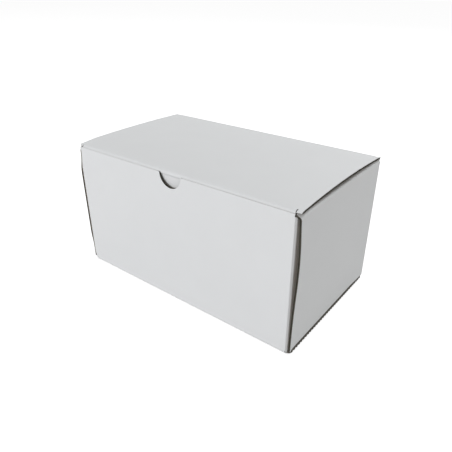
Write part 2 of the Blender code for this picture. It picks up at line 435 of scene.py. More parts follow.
class FoldedSheet:
    """The middle surface of a folded sheet of board, from which its papers and fluting are made."""

    def __init__(self, board: Board) -> None:
        """Start an empty sheet.

        Args:
            board: the board that it is cut from.
        """
        self.board = board
        self.mesh = bmesh.new()
        for name in POINT_LAYERS:
            self.mesh.verts.layers.float.new(name)
        self.mesh.faces.layers.int.new("bare")

    def layers(self) -> list[bmesh.types.BMLayerItem]:
        """Return the layers of the sheet's points: place, top and bottom."""
        return [self.mesh.verts.layers.float[name] for name in POINT_LAYERS]

    def add_grid(
        self,
        rows: Sequence,
        columns: Sequence,
        point: Callable[..., SheetPoint],
        keep: Callable[[int, int], bool] = lambda i, j: True,
        bare: Callable[[int], bool] = lambda i: False,
    ) -> None:
        """Add a grid of quads.

        Args:
            rows, columns: what the grid's lines are named by.
            point: gives the sheet's point at a row and a column.
            keep: drops a cell, named by its lower corner, where it returns False.
            bare: says of a row of cells that its outer paper is left off, so the dark layers beneath show as
                painted shade.
        """
        is_shade_bare = self.mesh.faces.layers.int["bare"]
        layers = self.layers()
        corners: dict[tuple[int, int], bmesh.types.BMVert] = {}

        def corner(i: int, j: int) -> bmesh.types.BMVert:
            """Return the vertex of a row and column, made at its first use.

            Args:
                i, j: the row's and the column's number.

            Returns:
                The vertex.
            """
            if (i, j) not in corners:
                co, *values = point(rows[i], columns[j])
                corners[i, j] = vertex = self.mesh.verts.new(co)
                for layer, value in zip(layers, values):
                    vertex[layer] = value
            return corners[i, j]

        for i in range(len(rows) - 1):
            for j in range(len(columns) - 1):
                if keep(i, j):
                    ring = (corner(i, j), corner(i, j + 1), corner(i + 1, j + 1), corner(i + 1, j))
                    self.mesh.faces.new(ring)[is_shade_bare] = int(bare(i))

    def close(self, outside: Triple, near: Triple) -> None:
        """Weld the panels and turn their normals to the printed side.

        Args:
            outside: the direction of the printed side at the reference place.
            near: the reference place.
        """
        bmesh.ops.remove_doubles(self.mesh, verts=self.mesh.verts, dist=WELD_DISTANCE)
        bmesh.ops.recalc_face_normals(self.mesh, faces=self.mesh.faces)
        place = Vector(near)
        reference = min(self.mesh.faces, key=lambda face: (face.calc_center_median() - place).length)
        if reference.normal.dot(Vector(outside)) < 0:
            bmesh.ops.reverse_faces(self.mesh, faces=self.mesh.faces)
        self.mesh.normal_update()
        self.mesh.verts.index_update()

    def papers(self, name: str) -> bpy.types.Object:
        """Return the sheet's outer and inner papers as one object, each a thin closed shell.

        Args:
            name: the object's name.

        Returns:
            The object, with its faces' material indices in the order of Coat.
        """
        place, top, bottom = self.layers()
        paper, hollow = self.board.paper, self.board.hollow
        bare = self.mesh.faces.layers.int["bare"]
        vertices = list(self.mesh.verts)
        count = len(vertices)
        points: list[Vector] = []
        for layer, inset in ((top, 0.0), (top, -paper), (bottom, paper), (bottom, 0.0)):
            points += [v.co + v.normal * (v[layer] + inset) * v.calc_shell_factor() for v in vertices]
        faces: list[tuple[int, ...]] = []
        coats: list[int] = []
        # Faces flagged bare get no outer paper, so their dark cut paper shows as a strip of painted shade.
        for face in self.mesh.faces:
            ring = tuple(vertex.index for vertex in face.verts)
            for level, coat in enumerate((Coat.OUTER, Coat.CUT, Coat.CUT, Coat.KRAFT)):
                if not face[bare] or level > 1:
                    turned = ring if level % 2 == 0 else ring[::-1]
                    faces.append(tuple(level * count + index for index in turned))
                    coats.append(coat.value)
        for edge in self.mesh.edges:
            covered = [loop for loop in edge.link_loops if not loop.face[bare]]
            if len(covered) == 1:
                faces.append(rim(covered[0], 0, count))
            if edge.is_boundary:
                faces.append(rim(edge.link_loops[0], 2 * count, 3 * count))
        coats += [Coat.CUT.value] * (len(faces) - len(coats))
        used = sorted({index for face in faces for index in face})
        number = {index: i for i, index in enumerate(used)}
        faces = [tuple(number[index] for index in face) for face in faces]
        mesh = bpy.data.meshes.new(name)
        mesh.from_pydata([points[index] for index in used], [], faces)
        mesh.polygons.foreach_set("material_index", coats)
        under = [vertices[i % count] for i in used]
        pinches = [1 - max(0.0, (v[top] - v[bottom] - 2 * paper)) / hollow for v in under]
        store(mesh, {"flute_place": [v[place] for v in under], "pinch": pinches})
        return new_object(name, mesh)

    def shell(self, name: str) -> bpy.types.Object:
        """Return the sheet as one thin closed shell between its top and bottom.

        Args:
            name: the object's name.

        Returns:
            The object.
        """
        _, top, bottom = self.layers()
        vertices = list(self.mesh.verts)
        count = len(vertices)
        points = [v.co + v.normal * v[level] for level in (top, bottom) for v in vertices]
        faces = []
        for face in self.mesh.faces:
            ring = tuple(vertex.index for vertex in face.verts)
            faces += [ring, tuple(count + index for index in reversed(ring))]
        faces += [rim(edge.link_loops[0], 0, count) for edge in self.mesh.edges if edge.is_boundary]
        mesh = bpy.data.meshes.new(name)
        mesh.from_pydata(points, [], faces)
        return new_object(name, mesh)

    def flat_depth(self, edge: bmesh.types.BMEdge) -> float:
        """Return how far in from a cut edge the sheet stays flat.

        Args:
            edge: the cut edge.

        Returns:
            The depth, which is followed for a few millimetres at most.
        """
        loop = edge.link_loops[0]
        normal = loop.face.normal.copy()
        depth = 0.0
        while depth < FLAT_REACH and loop.face.normal.dot(normal) > FLAT_COSINE:
            opposite = loop.link_loop_next.link_loop_next
            depth += (middle_of(opposite.edge) - middle_of(loop.edge)).length
            if opposite.edge.is_boundary:
                break
            loop = opposite.link_loop_radial_next
        return depth - self.board.paper

    def rails(self, name: str) -> bpy.types.Object:
        """Return the sheet's cut edges as a mesh of edges, with what the fluting needs at each point.

        Args:
            name: the object's name.

        Returns:
            The object. Its attributes are inward and across, two directions, and place, slope, centre
            and swing, which give the fluting's wave, and room, how deep it may go.
        """
        place, top, bottom = self.layers()
        vertices = list(self.mesh.verts)
        swings = [(vertex[top] - vertex[bottom]) / 2 - self.board.crest_inset for vertex in vertices]
        inward: dict[int, Vector] = {}
        grade: dict[int, Vector] = {}
        room: dict[int, float] = {}
        edges: list[tuple[int, int]] = []
        for edge in self.mesh.edges:
            start, end = edge.verts
            if not edge.is_boundary or min(swings[start.index], swings[end.index]) < LEAST_SWING:
                continue
            depth = self.flat_depth(edge)
            if depth < LEAST_ROOM:
                continue
            face = edge.link_faces[0]
            along = (end.co - start.co).normalized()
            into = face.normal.cross(along)
            if into.dot(face.calc_center_median() - start.co) < 0:
                into = -into
            far = max(face.verts, key=lambda vertex: (vertex.co - start.co).dot(into))
            along_grade = (end[place] - start[place]) / max((end.co - start.co).length, WELD_DISTANCE)
            step = far.co - start.co
            into_grade = (far[place] - start[place] - along_grade * step.dot(along)) / step.dot(into)
            for index in (start.index, end.index):
                room[index] = min(room.get(index, depth), depth)
                inward[index] = inward.get(index, Vector()) + into
                grade[index] = grade.get(index, Vector()) + (along * along_grade + into * into_grade)
            edges.append((start.index, end.index))
        number = {index: i for i, index in enumerate(inward)}
        used = [vertices[index] for index in number]
        mesh = bpy.data.meshes.new(name)
        mesh.from_pydata([vertex.co for vertex in used], [(number[a], number[b]) for a, b in edges], [])
        for index, total in inward.items():
            if total.length > 1:
                inward[index] = total * 2 / max(total.length_squared, 1.0)
        values = {
            "place": [vertex[place] for vertex in used],
            "slope": [(grade[index] / 2).dot(inward[index]) for index in number],
            "centre": [(vertex[top] + vertex[bottom]) / 2 for vertex in used],
            "swing": [swings[index] for index in number],
            "room": [room[index] for index in number],
        }
        store(mesh, values)
        for key, vectors in (("inward", list(inward.values())), ("across", [v.normal for v in used])):
            flat = [part for vector in vectors for part in vector]
            mesh.attributes.new(key, "FLOAT_VECTOR", "POINT").data.foreach_set("vector", flat)
        return new_object(name, mesh, shaded=False)


class NodeTree:
    """A thin wrapper that adds nodes to a tree and joins their sockets by name."""

    def __init__(self, tree: bpy.types.NodeTree) -> None:
        """Start with an existing tree."""
        self.tree = tree

    def add(self, kind: str, settings: dict | None = None, **inputs) -> bpy.types.Node:
        """Add a node.

        Args:
            kind: the node's type.
            settings: its own properties by name.
            inputs: its sockets by name, with underscores for spaces, each a value or another socket.

        Returns:
            The node.
        """
        node = self.tree.nodes.new(kind)
        for name, value in (settings or {}).items():
            setattr(node, name, value)
        for name, value in inputs.items():
            self.put(node, name, value)
        return node

    def out(self, kind: str, settings: dict | None = None, **inputs) -> Socket:
        """Add a node, as add does, and return its first output."""
        return self.add(kind, settings, **inputs).outputs[0]

    def put(self, node: bpy.types.Node, name: str, value) -> None:
        """Set or join one input.

        Args:
            node: the node.
            name: the input's label with underscores for spaces, or an n and its number.
            value: a value or another node's output.
        """
        numbered = name[0] == "n" and name[1:].isdigit()
        socket = node.inputs[int(name[1:]) if numbered else name.replace("_", " ")]
        if isinstance(value, Socket):
            self.tree.links.new(value, socket)
        else:
            socket.default_value = value

    def math(self, operation: str, *values) -> Socket:
        """Return the result of a Math node on these values or sockets."""
        inputs = {f"n{i}": value for i, value in enumerate(values)}
        return self.out("ShaderNodeMath", {"operation": operation}, **inputs)

    def vector(self, operation: str, first, second) -> Socket:
        """Return the result of a Vector Math node on two values or sockets."""
        name = "Scale" if operation == "SCALE" else "n1"
        return self.out("ShaderNodeVectorMath", {"operation": operation}, n0=first, **{name: second})

    def weighted(self, *terms: tuple) -> Socket:
        """Return the sum of terms.

        Args:
            terms: pairs of a socket and the number that it is multiplied by.

        Returns:
            The sum.
        """
        total = None
        for socket, weight in terms:
            term = self.math("MULTIPLY", socket, weight)
            total = term if total is None else self.math("ADD", total, term)
        return total

    def named(self, name: str, kind: str = "FLOAT") -> Socket:
        """Return the value of a geometry's attribute."""
        return self.out("GeometryNodeInputNamedAttribute", {"data_type": kind}, Name=name)

    def stored(self, geometry, name: str, kind: str, value) -> Socket:
        """Return the geometry with a value stored on its points.

        Args:
            geometry: the geometry.
            name, kind: the attribute's.
            value: the value.

        Returns:
            The geometry.
        """
        settings = {"data_type": kind, "domain": "POINT"}
        inputs = {"Geometry": geometry, "Name": name, "Value": value}
        return self.out("GeometryNodeStoreNamedAttribute", settings, **inputs)


@dataclass
class Fluting:
    """The waved paper that shows at the board's cut edges, made by Geometry Nodes along the rails.

    Args:
        board: the board that the fluting is in.
        depth: how far it is drawn from the cut edge into the board.
        step: the distance between its points along the edge.
        rows: how many points it has from the edge inwards.
        tree: the nodes that make it.
    """

    board: Board
    depth: float = 0.0028
    step: float = 0.0004
    rows: int = 5
    tree: bpy.types.GeometryNodeTree = field(init=False)

    def __post_init__(self) -> None:
        """Build the tree once, for every sheet."""
        self.tree = self.build_tree()

    def build_tree(self) -> bpy.types.GeometryNodeTree:
        """Build the nodes that turn rails into waved paper.

        Returns:
            The tree, whose inputs are the rails, the sizes and the finish.
        """
        tree = bpy.data.node_groups.new("fluting", "GeometryNodeTree")
        kinds = {"Geometry": "Geometry", "Depth": "Float", "Step": "Float", "Rows": "Int"}
        kinds |= {"Flute pitch": "Float", "Paper": "Float", "Finish": "Material"}
        for name, kind in kinds.items():
            tree.interface.new_socket(name, in_out="INPUT", socket_type="NodeSocket" + kind)
        tree.interface.new_socket("Geometry", in_out="OUTPUT", socket_type="NodeSocketGeometry")
        nodes = NodeTree(tree)
        given = nodes.add("NodeGroupInput").outputs

        curve = nodes.out("GeometryNodeMeshToCurve", Mesh=given["Geometry"])
        rail = nodes.out("GeometryNodeResampleCurve", {"mode": "LENGTH"}, Curve=curve, Length=given["Step"])
        rail = nodes.stored(rail, "rail_point", "FLOAT_VECTOR", nodes.out("GeometryNodeInputPosition"))
        line = nodes.out("GeometryNodeCurvePrimitiveLine", End=(0, 0, 1))
        line = nodes.out("GeometryNodeResampleCurve", Curve=line, Count=given["Rows"])
        factor = nodes.add("GeometryNodeSplineParameter").outputs["Factor"]
        line = nodes.stored(line, "share_in", "FLOAT", factor)
        strip = nodes.out("GeometryNodeCurveToMesh", Curve=rail, Profile_Curve=line)

        allowed = nodes.math("MINIMUM", nodes.named("room"), given["Depth"])
        deep = nodes.math("MULTIPLY", nodes.named("share_in"), allowed)
        run = nodes.math("ADD", nodes.named("place"), nodes.math("MULTIPLY", nodes.named("slope"), deep))
        turns = nodes.math("MULTIPLY", nodes.math("DIVIDE", run, given["Flute pitch"]), 2 * math.pi)
        wave = nodes.math("MULTIPLY", nodes.math("SINE", turns), nodes.named("swing"))
        lift = nodes.math("ADD", nodes.named("centre"), wave)
        lift = nodes.math("SUBTRACT", lift, nodes.math("MULTIPLY", given["Paper"], 0.5))
        across = nodes.named("across", "FLOAT_VECTOR")
        inner = nodes.vector("SCALE", nodes.named("inward", "FLOAT_VECTOR"), deep)
        placed = nodes.vector("ADD", nodes.named("rail_point", "FLOAT_VECTOR"), inner)
        placed = nodes.vector("ADD", placed, nodes.vector("SCALE", across, lift))
        waved = nodes.out("GeometryNodeSetPosition", Geometry=strip, Position=placed)
        offset = {"Offset": across, "Offset_Scale": given["Paper"], "Individual": False}
        thick = nodes.out("GeometryNodeExtrudeMesh", {"mode": "FACES"}, Mesh=waved, **offset)
        under = nodes.out("GeometryNodeFlipFaces", Mesh=waved)
        both = nodes.add("GeometryNodeJoinGeometry")
        for part in (thick, under):
            nodes.put(both, "n0", part)
        joined, near = both.outputs[0], WELD_DISTANCE / 5
        merged = nodes.out("GeometryNodeMergeByDistance", Geometry=joined, Distance=near)
        real = nodes.out("GeometryNodeRealizeInstances", Geometry=merged)
        dressed = nodes.out("GeometryNodeSetMaterial", Geometry=real, Material=given["Finish"])
        nodes.add("NodeGroupOutput", Geometry=dressed)
        return tree

    def along(self, sheet: FoldedSheet, name: str, finish: bpy.types.Material) -> bpy.types.Object:
        """Return the fluting along a sheet's cut edges, as a plain mesh.

        Args:
            sheet: the sheet whose edges are followed.
            name: the piece's name.
            finish: the fluting paper.

        Returns:
            The piece.
        """
        rails = sheet.rails(name + "_rails")
        modifier = rails.modifiers.new("fluting", "NODES")
        modifier.node_group = self.tree
        values = {"Depth": self.depth, "Step": self.step, "Rows": self.rows, "Finish": finish}
        values |= {"Flute pitch": self.board.flute_pitch, "Paper": self.board.paper}
        for item in self.tree.interface.items_tree:
            if item.in_out == "INPUT" and item.name in values:
                modifier[item.identifier] = values[item.name]
        bpy.context.view_layer.update()
        evaluated = rails.evaluated_get(bpy.context.evaluated_depsgraph_get())
        mesh = bpy.data.meshes.new_from_object(evaluated)
        rails.modifiers.remove(modifier)
        bpy.data.objects.remove(rails, do_unlink=True)
        shape = bmesh.new()
        shape.from_mesh(mesh)
        write_out(shape, mesh)
        mesh.name = name
        return new_object(name, mesh)


@dataclass
class Tray:
    """The floor with its four walls, one folded sheet.

    Args:
        plan: the box's places.
        belly, belly_rise, belly_peak: how far the right wall's front edge swells outwards, and its curve.
        flare: how far the right wall's rolled top stands out at the front.
        draw, draw_x, draw_fade: how far the left front corner is drawn in, and over what share.
        lean, lean_rise: how much further its top leans in, and how late.
        tuck, tuck_reach: how far the left wall's head is tucked in, and over what length.
        press, press_x, press_y, press_z: how far the front wall's left end is pressed out, and where.
        press_limit: x and y beyond which it is.
        press_head: how much of that press its head loses.
        head: the heights over which the walls' heads begin.
        pinch_height: how far down from its top edge the front wall is pinched thin.
        corner_round, notch_fade: how far that edge is rounded off, and how that fades at the notch.
        squeeze: how far down the wall gives way to the notch, in depths of the notch.
        wing_crease, crease_pinch: radius of the front wings' folds, and how thin they are pinched.
        wing_stops, wing_ease: places where a front wing swings from its crease to its plane.
        foot_level, foot_x, foot_y: how low the front wings' feet hang at the crease, and over what reach.
        split_height, split_end: greatest height of the split that bares the foot's dark strip of painted
            shade, and where the wall is plain again.
        split_rise, split_front, split_rear: how its height starts, and grows in from the two ends.
        split_least: its height's share at the rear end.
        tab_foot: height of the lock tabs' ends.
        rims: columns just inside the side walls' edges.
        sag_height, sag_reach, sag_behind: over what the rolled tops' ends droop.
        sag_left, sag_right, sag_outer, sag_rear: by how much.
        sag_width: the width over which the right one's droop grows outwards.
        edge_reach, edge_span: how far in from its front edge the left wall is pinched.
        open_from, open_to: heights between which that edge stands open.
    """

    plan: BoxPlan
    belly: float = 0.00135
    belly_rise: float = 1.8
    belly_peak: float = 1.5
    flare: float = 0.0006
    draw: float = -0.0003
    draw_x: Ramp = Ramp(0.55, 0.45)
    draw_fade: float = 0.03
    lean: float = 0.0010
    lean_rise: int = 12
    tuck: float = 0.0009
    tuck_reach: float = 5 * MM
    press: float = 0.0010
    press_x: Ramp = Ramp(86 * MM, 9 * MM)
    press_y: Ramp = Ramp(50 * MM, 5 * MM)
    press_z: Ramp = Ramp(2.6 * MM, 4 * MM)
    press_limit: tuple[float, float] = (-98.35 * MM, -50 * MM)
    press_head: float = 0.9
    head: Ramp = Ramp(84 * MM, 12 * MM)
    pinch_height: float = 0.0024
    corner_round: float = 0.00025
    notch_fade: float = 1.5 * MM
    squeeze: float = 2.2
    wing_crease: float = 0.00055
    crease_pinch: float = 0.00035
    wing_stops: tuple[float, ...] = (3.6, 4.3, 5.0, 5.7, 6.4)
    wing_ease: Ramp = Ramp(3.6 * MM, 2.8 * MM)
    foot_level: float = 0.35 * MM
    foot_x: float = 0.35 * MM
    foot_y: float = 0.4 * MM
    # Painted shade: the outer paper is split open at the side walls' feet to bare a dark strip where the
    # contact shadow falls.
    split_height: float = 0.0043
    split_end: float = 12 * MM
    split_rise: float = 0.3 * MM
    split_front: Ramp = Ramp(-0.5 * MM, 3.5 * MM)
    split_rear: float = 26 * MM
    split_least: float = 0.35
    tab_foot: float = 0.2 * MM
    rims: tuple[float, ...] = (0.0, 0.35 * MM, 0.8 * MM)
    sag_height: float = 6 * MM
    sag_reach: float = 6 * MM
    sag_behind: float = 5 * MM
    sag_left: float = 1.2
    sag_right: float = 0.9
    sag_outer: float = 0.6
    sag_rear: float = 0.6
    sag_width: float = 4 * MM
    edge_reach: float = 1.6 * MM
    edge_span: float = 1.4 * MM
    open_from: Ramp = Ramp(12 * MM, 16 * MM)
    open_to: Ramp = Ramp(80 * MM, 14 * MM)
    sheet: FoldedSheet = field(init=False)

    def __post_init__(self) -> None:
        """Start the sheet and share the column places."""
        self.sheet = FoldedSheet(self.plan.board)
        self.columns = self.plan.width_places()
        self.depths = self.plan.depth_places()

    def fold_sheet(self) -> FoldedSheet:
        """Return the folded sheet with all its panels.

        Returns:
            The sheet, closed and settled.
        """
        self.add_floor()
        for facing in Facing:
            self.add_end_wall(facing)
            for side in Side:
                self.add_wing(facing, side)
        for side in Side:
            self.add_side_wall(side)
        self.sheet.close(outside=(0, 0, -1), near=(0, 0, 0))
        self.settle()
        return self.sheet

    def flat(self, co: Triple, place: float) -> SheetPoint:
        """Return a point where the board has its full thickness."""
        half = self.plan.board.half
        return SheetPoint(Vector(co), place, half, -half)

    def add_floor(self) -> None:
        """Add the floor panel, with the slots for the lock tabs."""
        plan = self.plan

        def point(y: float, x: float) -> SheetPoint:
            """Return the floor's point here."""
            return self.flat((x, y, plan.board.half), y)

        def keep(i: int, j: int) -> bool:
            """Leave out the cells in the slots."""
            on_slot = plan.on_tab(middle(self.depths, i), plan.board.layer_gap)
            return not (on_slot and plan.slot_x < abs(middle(self.columns, j)) < plan.wall_x)

        self.sheet.add_grid(self.depths, self.columns, point, keep)

    def drawn_in(self, facing: Facing, z: float) -> float:
        """Return how far the end folds of the front or back wall draw in at this height."""
        share = (z - self.plan.fold_top) / (self.plan.wall_top - self.plan.fold_top)
        return self.plan.end_draw_in * swell(share) if facing is Facing.BACK and share > 0 else 0.0

    def notch_top(self, x: float) -> float:
        """Return the height of the front wall's top edge, with the thumb notch in it.

        Args:
            x: where along the wall.

        Returns:
            The height.
        """
        plan = self.plan
        if abs(x) >= plan.notch_radius - WELD_DISTANCE:
            return plan.wall_top
        centre = plan.wall_top - plan.notch_depth + plan.notch_radius
        return centre - math.sqrt(plan.notch_radius**2 - x**2)

    def end_wall_profile(self) -> Profile:
        """Return a front or back wall's profile, outwards and up, from the floor's edge to the top.

        Returns:
            The profile.
        """
        plan = self.plan
        fold = arc((plan.floor_y, plan.fold_top), plan.board.fold_radius, -QUARTER, 0)
        top = divided([plan.wing_head, plan.wall_top], steps=7)[1:]
        return fold + [(plan.front_plane, z) for z in [*self.wing_heights(), *top]]

    def wing_heights(self) -> list[float]:
        """Return the heights that the wings share with the front and back walls."""
        plan = self.plan
        return divided([plan.wing_foot, plan.wall_top - self.pinch_height, plan.wing_head], steps=26)

    def add_end_wall(self, facing: Facing) -> None:
        """Add the front or the back wall.

        Args:
            facing: which of the two.
        """
        plan = self.plan
        hollow = plan.board.hollow
        profile = self.end_wall_profile()
        travelled = runs(profile, plan.floor_y)
        squeeze_start = plan.wall_top - self.squeeze * plan.notch_depth
        front = facing is Facing.FRONT
        head_reach = plan.wall_top_x if front else plan.wall_end

        def point(row: int, x: float) -> SheetPoint:
            """Return the wall's point.

            Args:
                row: the number of its place in the profile.
                x: its column.

            Returns:
                The point, pinched at the top edge and lowered round the notch.
            """
            out, z = profile[row]
            run = travelled[row]
            top, bottom = plan.board.half, -plan.board.half
            share = max(0.0, (z - plan.wall_top + self.pinch_height) / self.pinch_height)
            if front:
                beside = smooth((abs(x) - plan.notch_radius) / self.notch_fade)
                top -= beside * self.corner_round * (1 - math.sqrt(1 - min(1.0, share**2)))
                bottom += beside * share * (hollow - self.corner_round)
                if z > squeeze_start:
                    above, full = z - squeeze_start, plan.wall_top - squeeze_start
                    lowered = squeeze_start + above * (self.notch_top(x) - squeeze_start) / full
                    run -= z - lowered
                    z = lowered
            else:
                bottom += share**2 * hollow
            x = x * (1 - self.drawn_in(facing, z) / plan.wall_x)
            return SheetPoint(Vector((x, facing.value * out, z)), facing.value * run, top, bottom)

        def keep(i: int, j: int) -> bool:
            """Keep the wall inside its end folds, and its top inside the rolled side walls."""
            reach = head_reach if profile[i][1] > plan.wing_head - WELD_DISTANCE else plan.wall_x
            return abs(middle(self.columns, j)) < reach

        self.sheet.add_grid(range(len(profile)), self.columns, point, keep)

    def add_wing(self, facing: Facing, side: Side) -> None:
        """Add the wing that folds back from one end of a front or back wall.

        Args:
            facing: which wall.
            side: which end of it.
        """
        plan = self.plan
        foot, head = plan.wing_foot, plan.wing_head
        centre, half = (foot + head) / 2, (head - foot) / 2
        radius = self.wing_crease if facing is Facing.FRONT else plan.board.fold_radius
        bend_y = plan.front_plane - radius
        fold = arc((plan.wall_x, bend_y), radius, QUARTER, 0)
        keys = [plan.floor_y - bend_y, *(stop * MM for stop in self.wing_stops)]
        straight = divided([*keys, plan.wing_length - plan.wing_corner], steps=10)[1:]
        last = len(fold) - 1
        lines = [(*place, 0.0, math.sin(math.pi * i / last)) for i, place in enumerate(fold)]
        ends = [(along, 0.0) for along in straight] + rounded_end(plan.wing_length, plan.wing_corner)
        lines += [(plan.wing_plane, plan.floor_y - along, trim, 0.0) for along, trim in ends]
        start = plan.floor_y + QUARTER * plan.board.fold_radius - plan.fold_top

        def point(line: tuple[float, ...], z: float) -> SheetPoint:
            """Return the wing's point.

            Args:
                line: outwards, along the depth, the trim of its ends and the share of the crease's pinch.
                z: its height.

            Returns:
                The point, eased from the crease into the wing's plane.
            """
            x, y, trim, creased = line
            height = centre + (z - centre) * (half - trim) / half
            if facing is Facing.FRONT and z < foot + WELD_DISTANCE:
                beside = smooth((x - plan.wall_x) / self.foot_x) * smooth((y - plan.floor_y) / self.foot_y)
                height -= beside * (foot - self.foot_level)
            if y < bend_y - WELD_DISTANCE:
                x -= (plan.board.fold_radius - radius) * (1 - self.wing_ease.at(plan.floor_y - y))
            x -= self.drawn_in(facing, z)
            co = Vector((side.value * x, facing.value * y, height))
            top = plan.board.half - self.crease_pinch * creased
            return SheetPoint(co, facing.value * (start + height), top, -plan.board.half)

        self.sheet.add_grid(lines, self.wing_heights(), point)

    def add_side_wall(self, side: Side) -> None:
        """Add one side wall: outer layer, rolled top, inner layer and its lock tabs.

        Args:
            side: which wall.
        """
        plan = self.plan
        board = plan.board
        radius, shade_split = board.fold_radius, self.split_height
        fold = arc((plan.floor_x, plan.fold_top), radius, -QUARTER, 0)
        keys = [plan.fold_top + plan.corner_rise, shade_split, self.split_end, plan.roll_start]
        heights = divided(keys, steps=32)
        outer_roll = arc((plan.floor_x, plan.roll_start), radius, 0, QUARTER)[1:]
        inner_roll = arc((plan.inner_plane + radius, plan.roll_start), radius, QUARTER, math.pi)
        drops = divided([plan.roll_start, board.caliper + board.layer_gap], steps=14)[1:]
        outer = fold + [(plan.side_plane, z) for z in heights] + outer_roll
        inner = inner_roll + [(plan.inner_plane, z) for z in [*drops, self.tab_foot]]
        lines = [(*place, False) for place in outer] + [(*place, True) for place in inner]
        rim_places = [plan.side_edge - inset for inset in self.rims]
        columns = [*(-y for y in rim_places), *self.depths, *reversed(rim_places)]

        def point(line: tuple[float, float, bool], y: float) -> SheetPoint:
            """Return the wall's point.

            Args:
                line: outwards, up and whether it is on the inner layer.
                y: its place along the depth.

            Returns:
                The point, with the outer layer swollen and sagging.
            """
            x, z, is_inner = line
            edge = plan.floor_y if z <= plan.fold_top and not is_inner else plan.side_edge
            y = max(-edge, min(edge, y))
            if is_inner:
                return self.flat((side.value * x, y, z), y)
            place = self.outer_place(side, x, y, z)
            top = board.half - self.edge_pinch(side, y, place.z) * board.hollow
            return SheetPoint(place, y, top, -board.half)

        def bare(i: int) -> bool:
            """Return whether the outer paper is left off between this line and the next, baring the foot's
            dark strip of painted shade.
            """
            return not lines[i][2] and lines[i + 1][1] < shade_split + WELD_DISTANCE and i > 1

        def keep(i: int, j: int) -> bool:
            """Keep the outer layer, and the inner one where it stands or has a lock tab.

            Args:
                i, j: the cell's row and column.

            Returns:
                Whether the cell is kept.
            """
            y = middle(columns, j)
            if not lines[i][2]:
                return lines[i + 1][1] > plan.fold_top or abs(y) < plan.floor_y
            if i == len(lines) - 2:
                return plan.on_tab(y)
            return plan.inner_front < y < plan.inner_rear

        self.sheet.add_grid(lines, columns, point, keep, bare)

    def outer_place(self, side: Side, x: float, y: float, z: float) -> Vector:
        """Return where a point of a side wall's outer layer ends up.

        Args:
            side: which wall.
            x, y, z: the point on the plain wall, x outwards.

        Returns:
            The place after swelling, splitting open for the foot's painted shade, and sagging.
        """
        foot, shade_split, end = self.plan.fold_top, self.split_height, self.split_end
        x += self.swell_out(side, y, z)
        if foot < z < end:
            near = (z - foot) / (shade_split - foot) if z < shade_split else (end - z) / (end - shade_split)
            z += (self.split_top(y) - shade_split) * near
        z -= self.droop(side, x, y, z)
        return Vector((side.value * x, y, z))

    def near_edge(self, ahead: float, reach: float, span: float) -> float:
        """Return the eased share that grows from this reach inside a side wall's edge towards it."""
        return smooth((ahead - self.plan.side_edge + reach) / span)

    def swell_out(self, side: Side, y: float, z: float) -> float:
        """Return how far a side wall's outer layer stands out.

        Args:
            side: which wall.
            y, z: where on it.

        Returns:
            The distance, below 0 where it is tucked in.
        """
        plan = self.plan
        if side is Side.LEFT:
            return -self.tuck * self.near_edge(-y, self.tuck_reach, self.tuck_reach) * self.head.at(z)
        fade = ((plan.side_edge - y) / (2 * plan.side_edge)) ** 2
        rise = held((z - plan.fold_top) / (plan.roll_start - plan.fold_top))
        swollen = math.sin(math.pi * rise**self.belly_rise) ** self.belly_peak
        return fade * (self.belly * swollen + self.flare * rise)

    def split_top(self, y: float) -> float:
        """Return the height of the outer paper's edge above the split fold at a side wall's foot, the top of
        its dark strip of painted shade.

        Args:
            y: where along the wall.

        Returns:
            The height.
        """
        plan = self.plan
        front = self.split_front.at(y + plan.depth / 2)
        rear = smooth((plan.depth / 2 - y) / self.split_rear)
        share = self.split_least + (1 - self.split_least) * rear
        return plan.fold_top + self.split_rise + (self.split_height - plan.fold_top) * front * share

    def droop(self, side: Side, x: float, y: float, z: float) -> float:
        """Return how far the rolled top sags at its front and rear ends.

        Args:
            side: which wall.
            x, y, z: where on it, x outwards.

        Returns:
            The distance downwards.
        """
        plan = self.plan
        upper = smooth((z - plan.roll_start + self.sag_height) / self.sag_height)
        ahead = self.near_edge(-y, self.sag_reach, self.sag_reach)
        behind = self.near_edge(y, self.sag_behind, self.sag_behind)
        outward = held((x - plan.wall_x) / self.sag_width)
        front = self.sag_left if side is Side.LEFT else self.sag_right + self.sag_outer * outward
        return upper * (ahead * front + behind * self.sag_rear) * MM

    def edge_pinch(self, side: Side, y: float, z: float) -> float:
        """Return how far the left wall's front edge is pinched thin, near its foot and its head.

        Args:
            side: which wall.
            y, z: where on it.

        Returns:
            The share, 1 where it is pinched shut.
        """
        if side is Side.RIGHT:
            return 0.0
        open_part = self.open_from.at(z) * (1 - self.open_to.at(z))
        return self.near_edge(-y, self.edge_reach, self.edge_span) * (1 - open_part)

    def settle(self) -> None:
        """Lean the left front corner inwards, with all the layers that meet there."""
        plan = self.plan
        for vertex in self.sheet.mesh.verts:
            x, y, z = vertex.co
            rise = held(z / plan.wall_top)
            ahead = ((plan.side_edge - y) / (2 * plan.side_edge)) ** 2
            outward = self.draw_x.at(-x / plan.side_plane)
            lifted = smooth(rise / self.draw_fade)
            vertex.co.x += outward * ahead * lifted * (self.draw + self.lean * rise**self.lean_rise)
            if x > self.press_limit[0] and y < self.press_limit[1]:
                beside = self.press_x.at(-x) * self.press_y.at(-y)
                upright = self.press_z.at(z) * (1 - self.press_head * self.head.at(z))
                vertex.co.x -= self.press * beside * upright


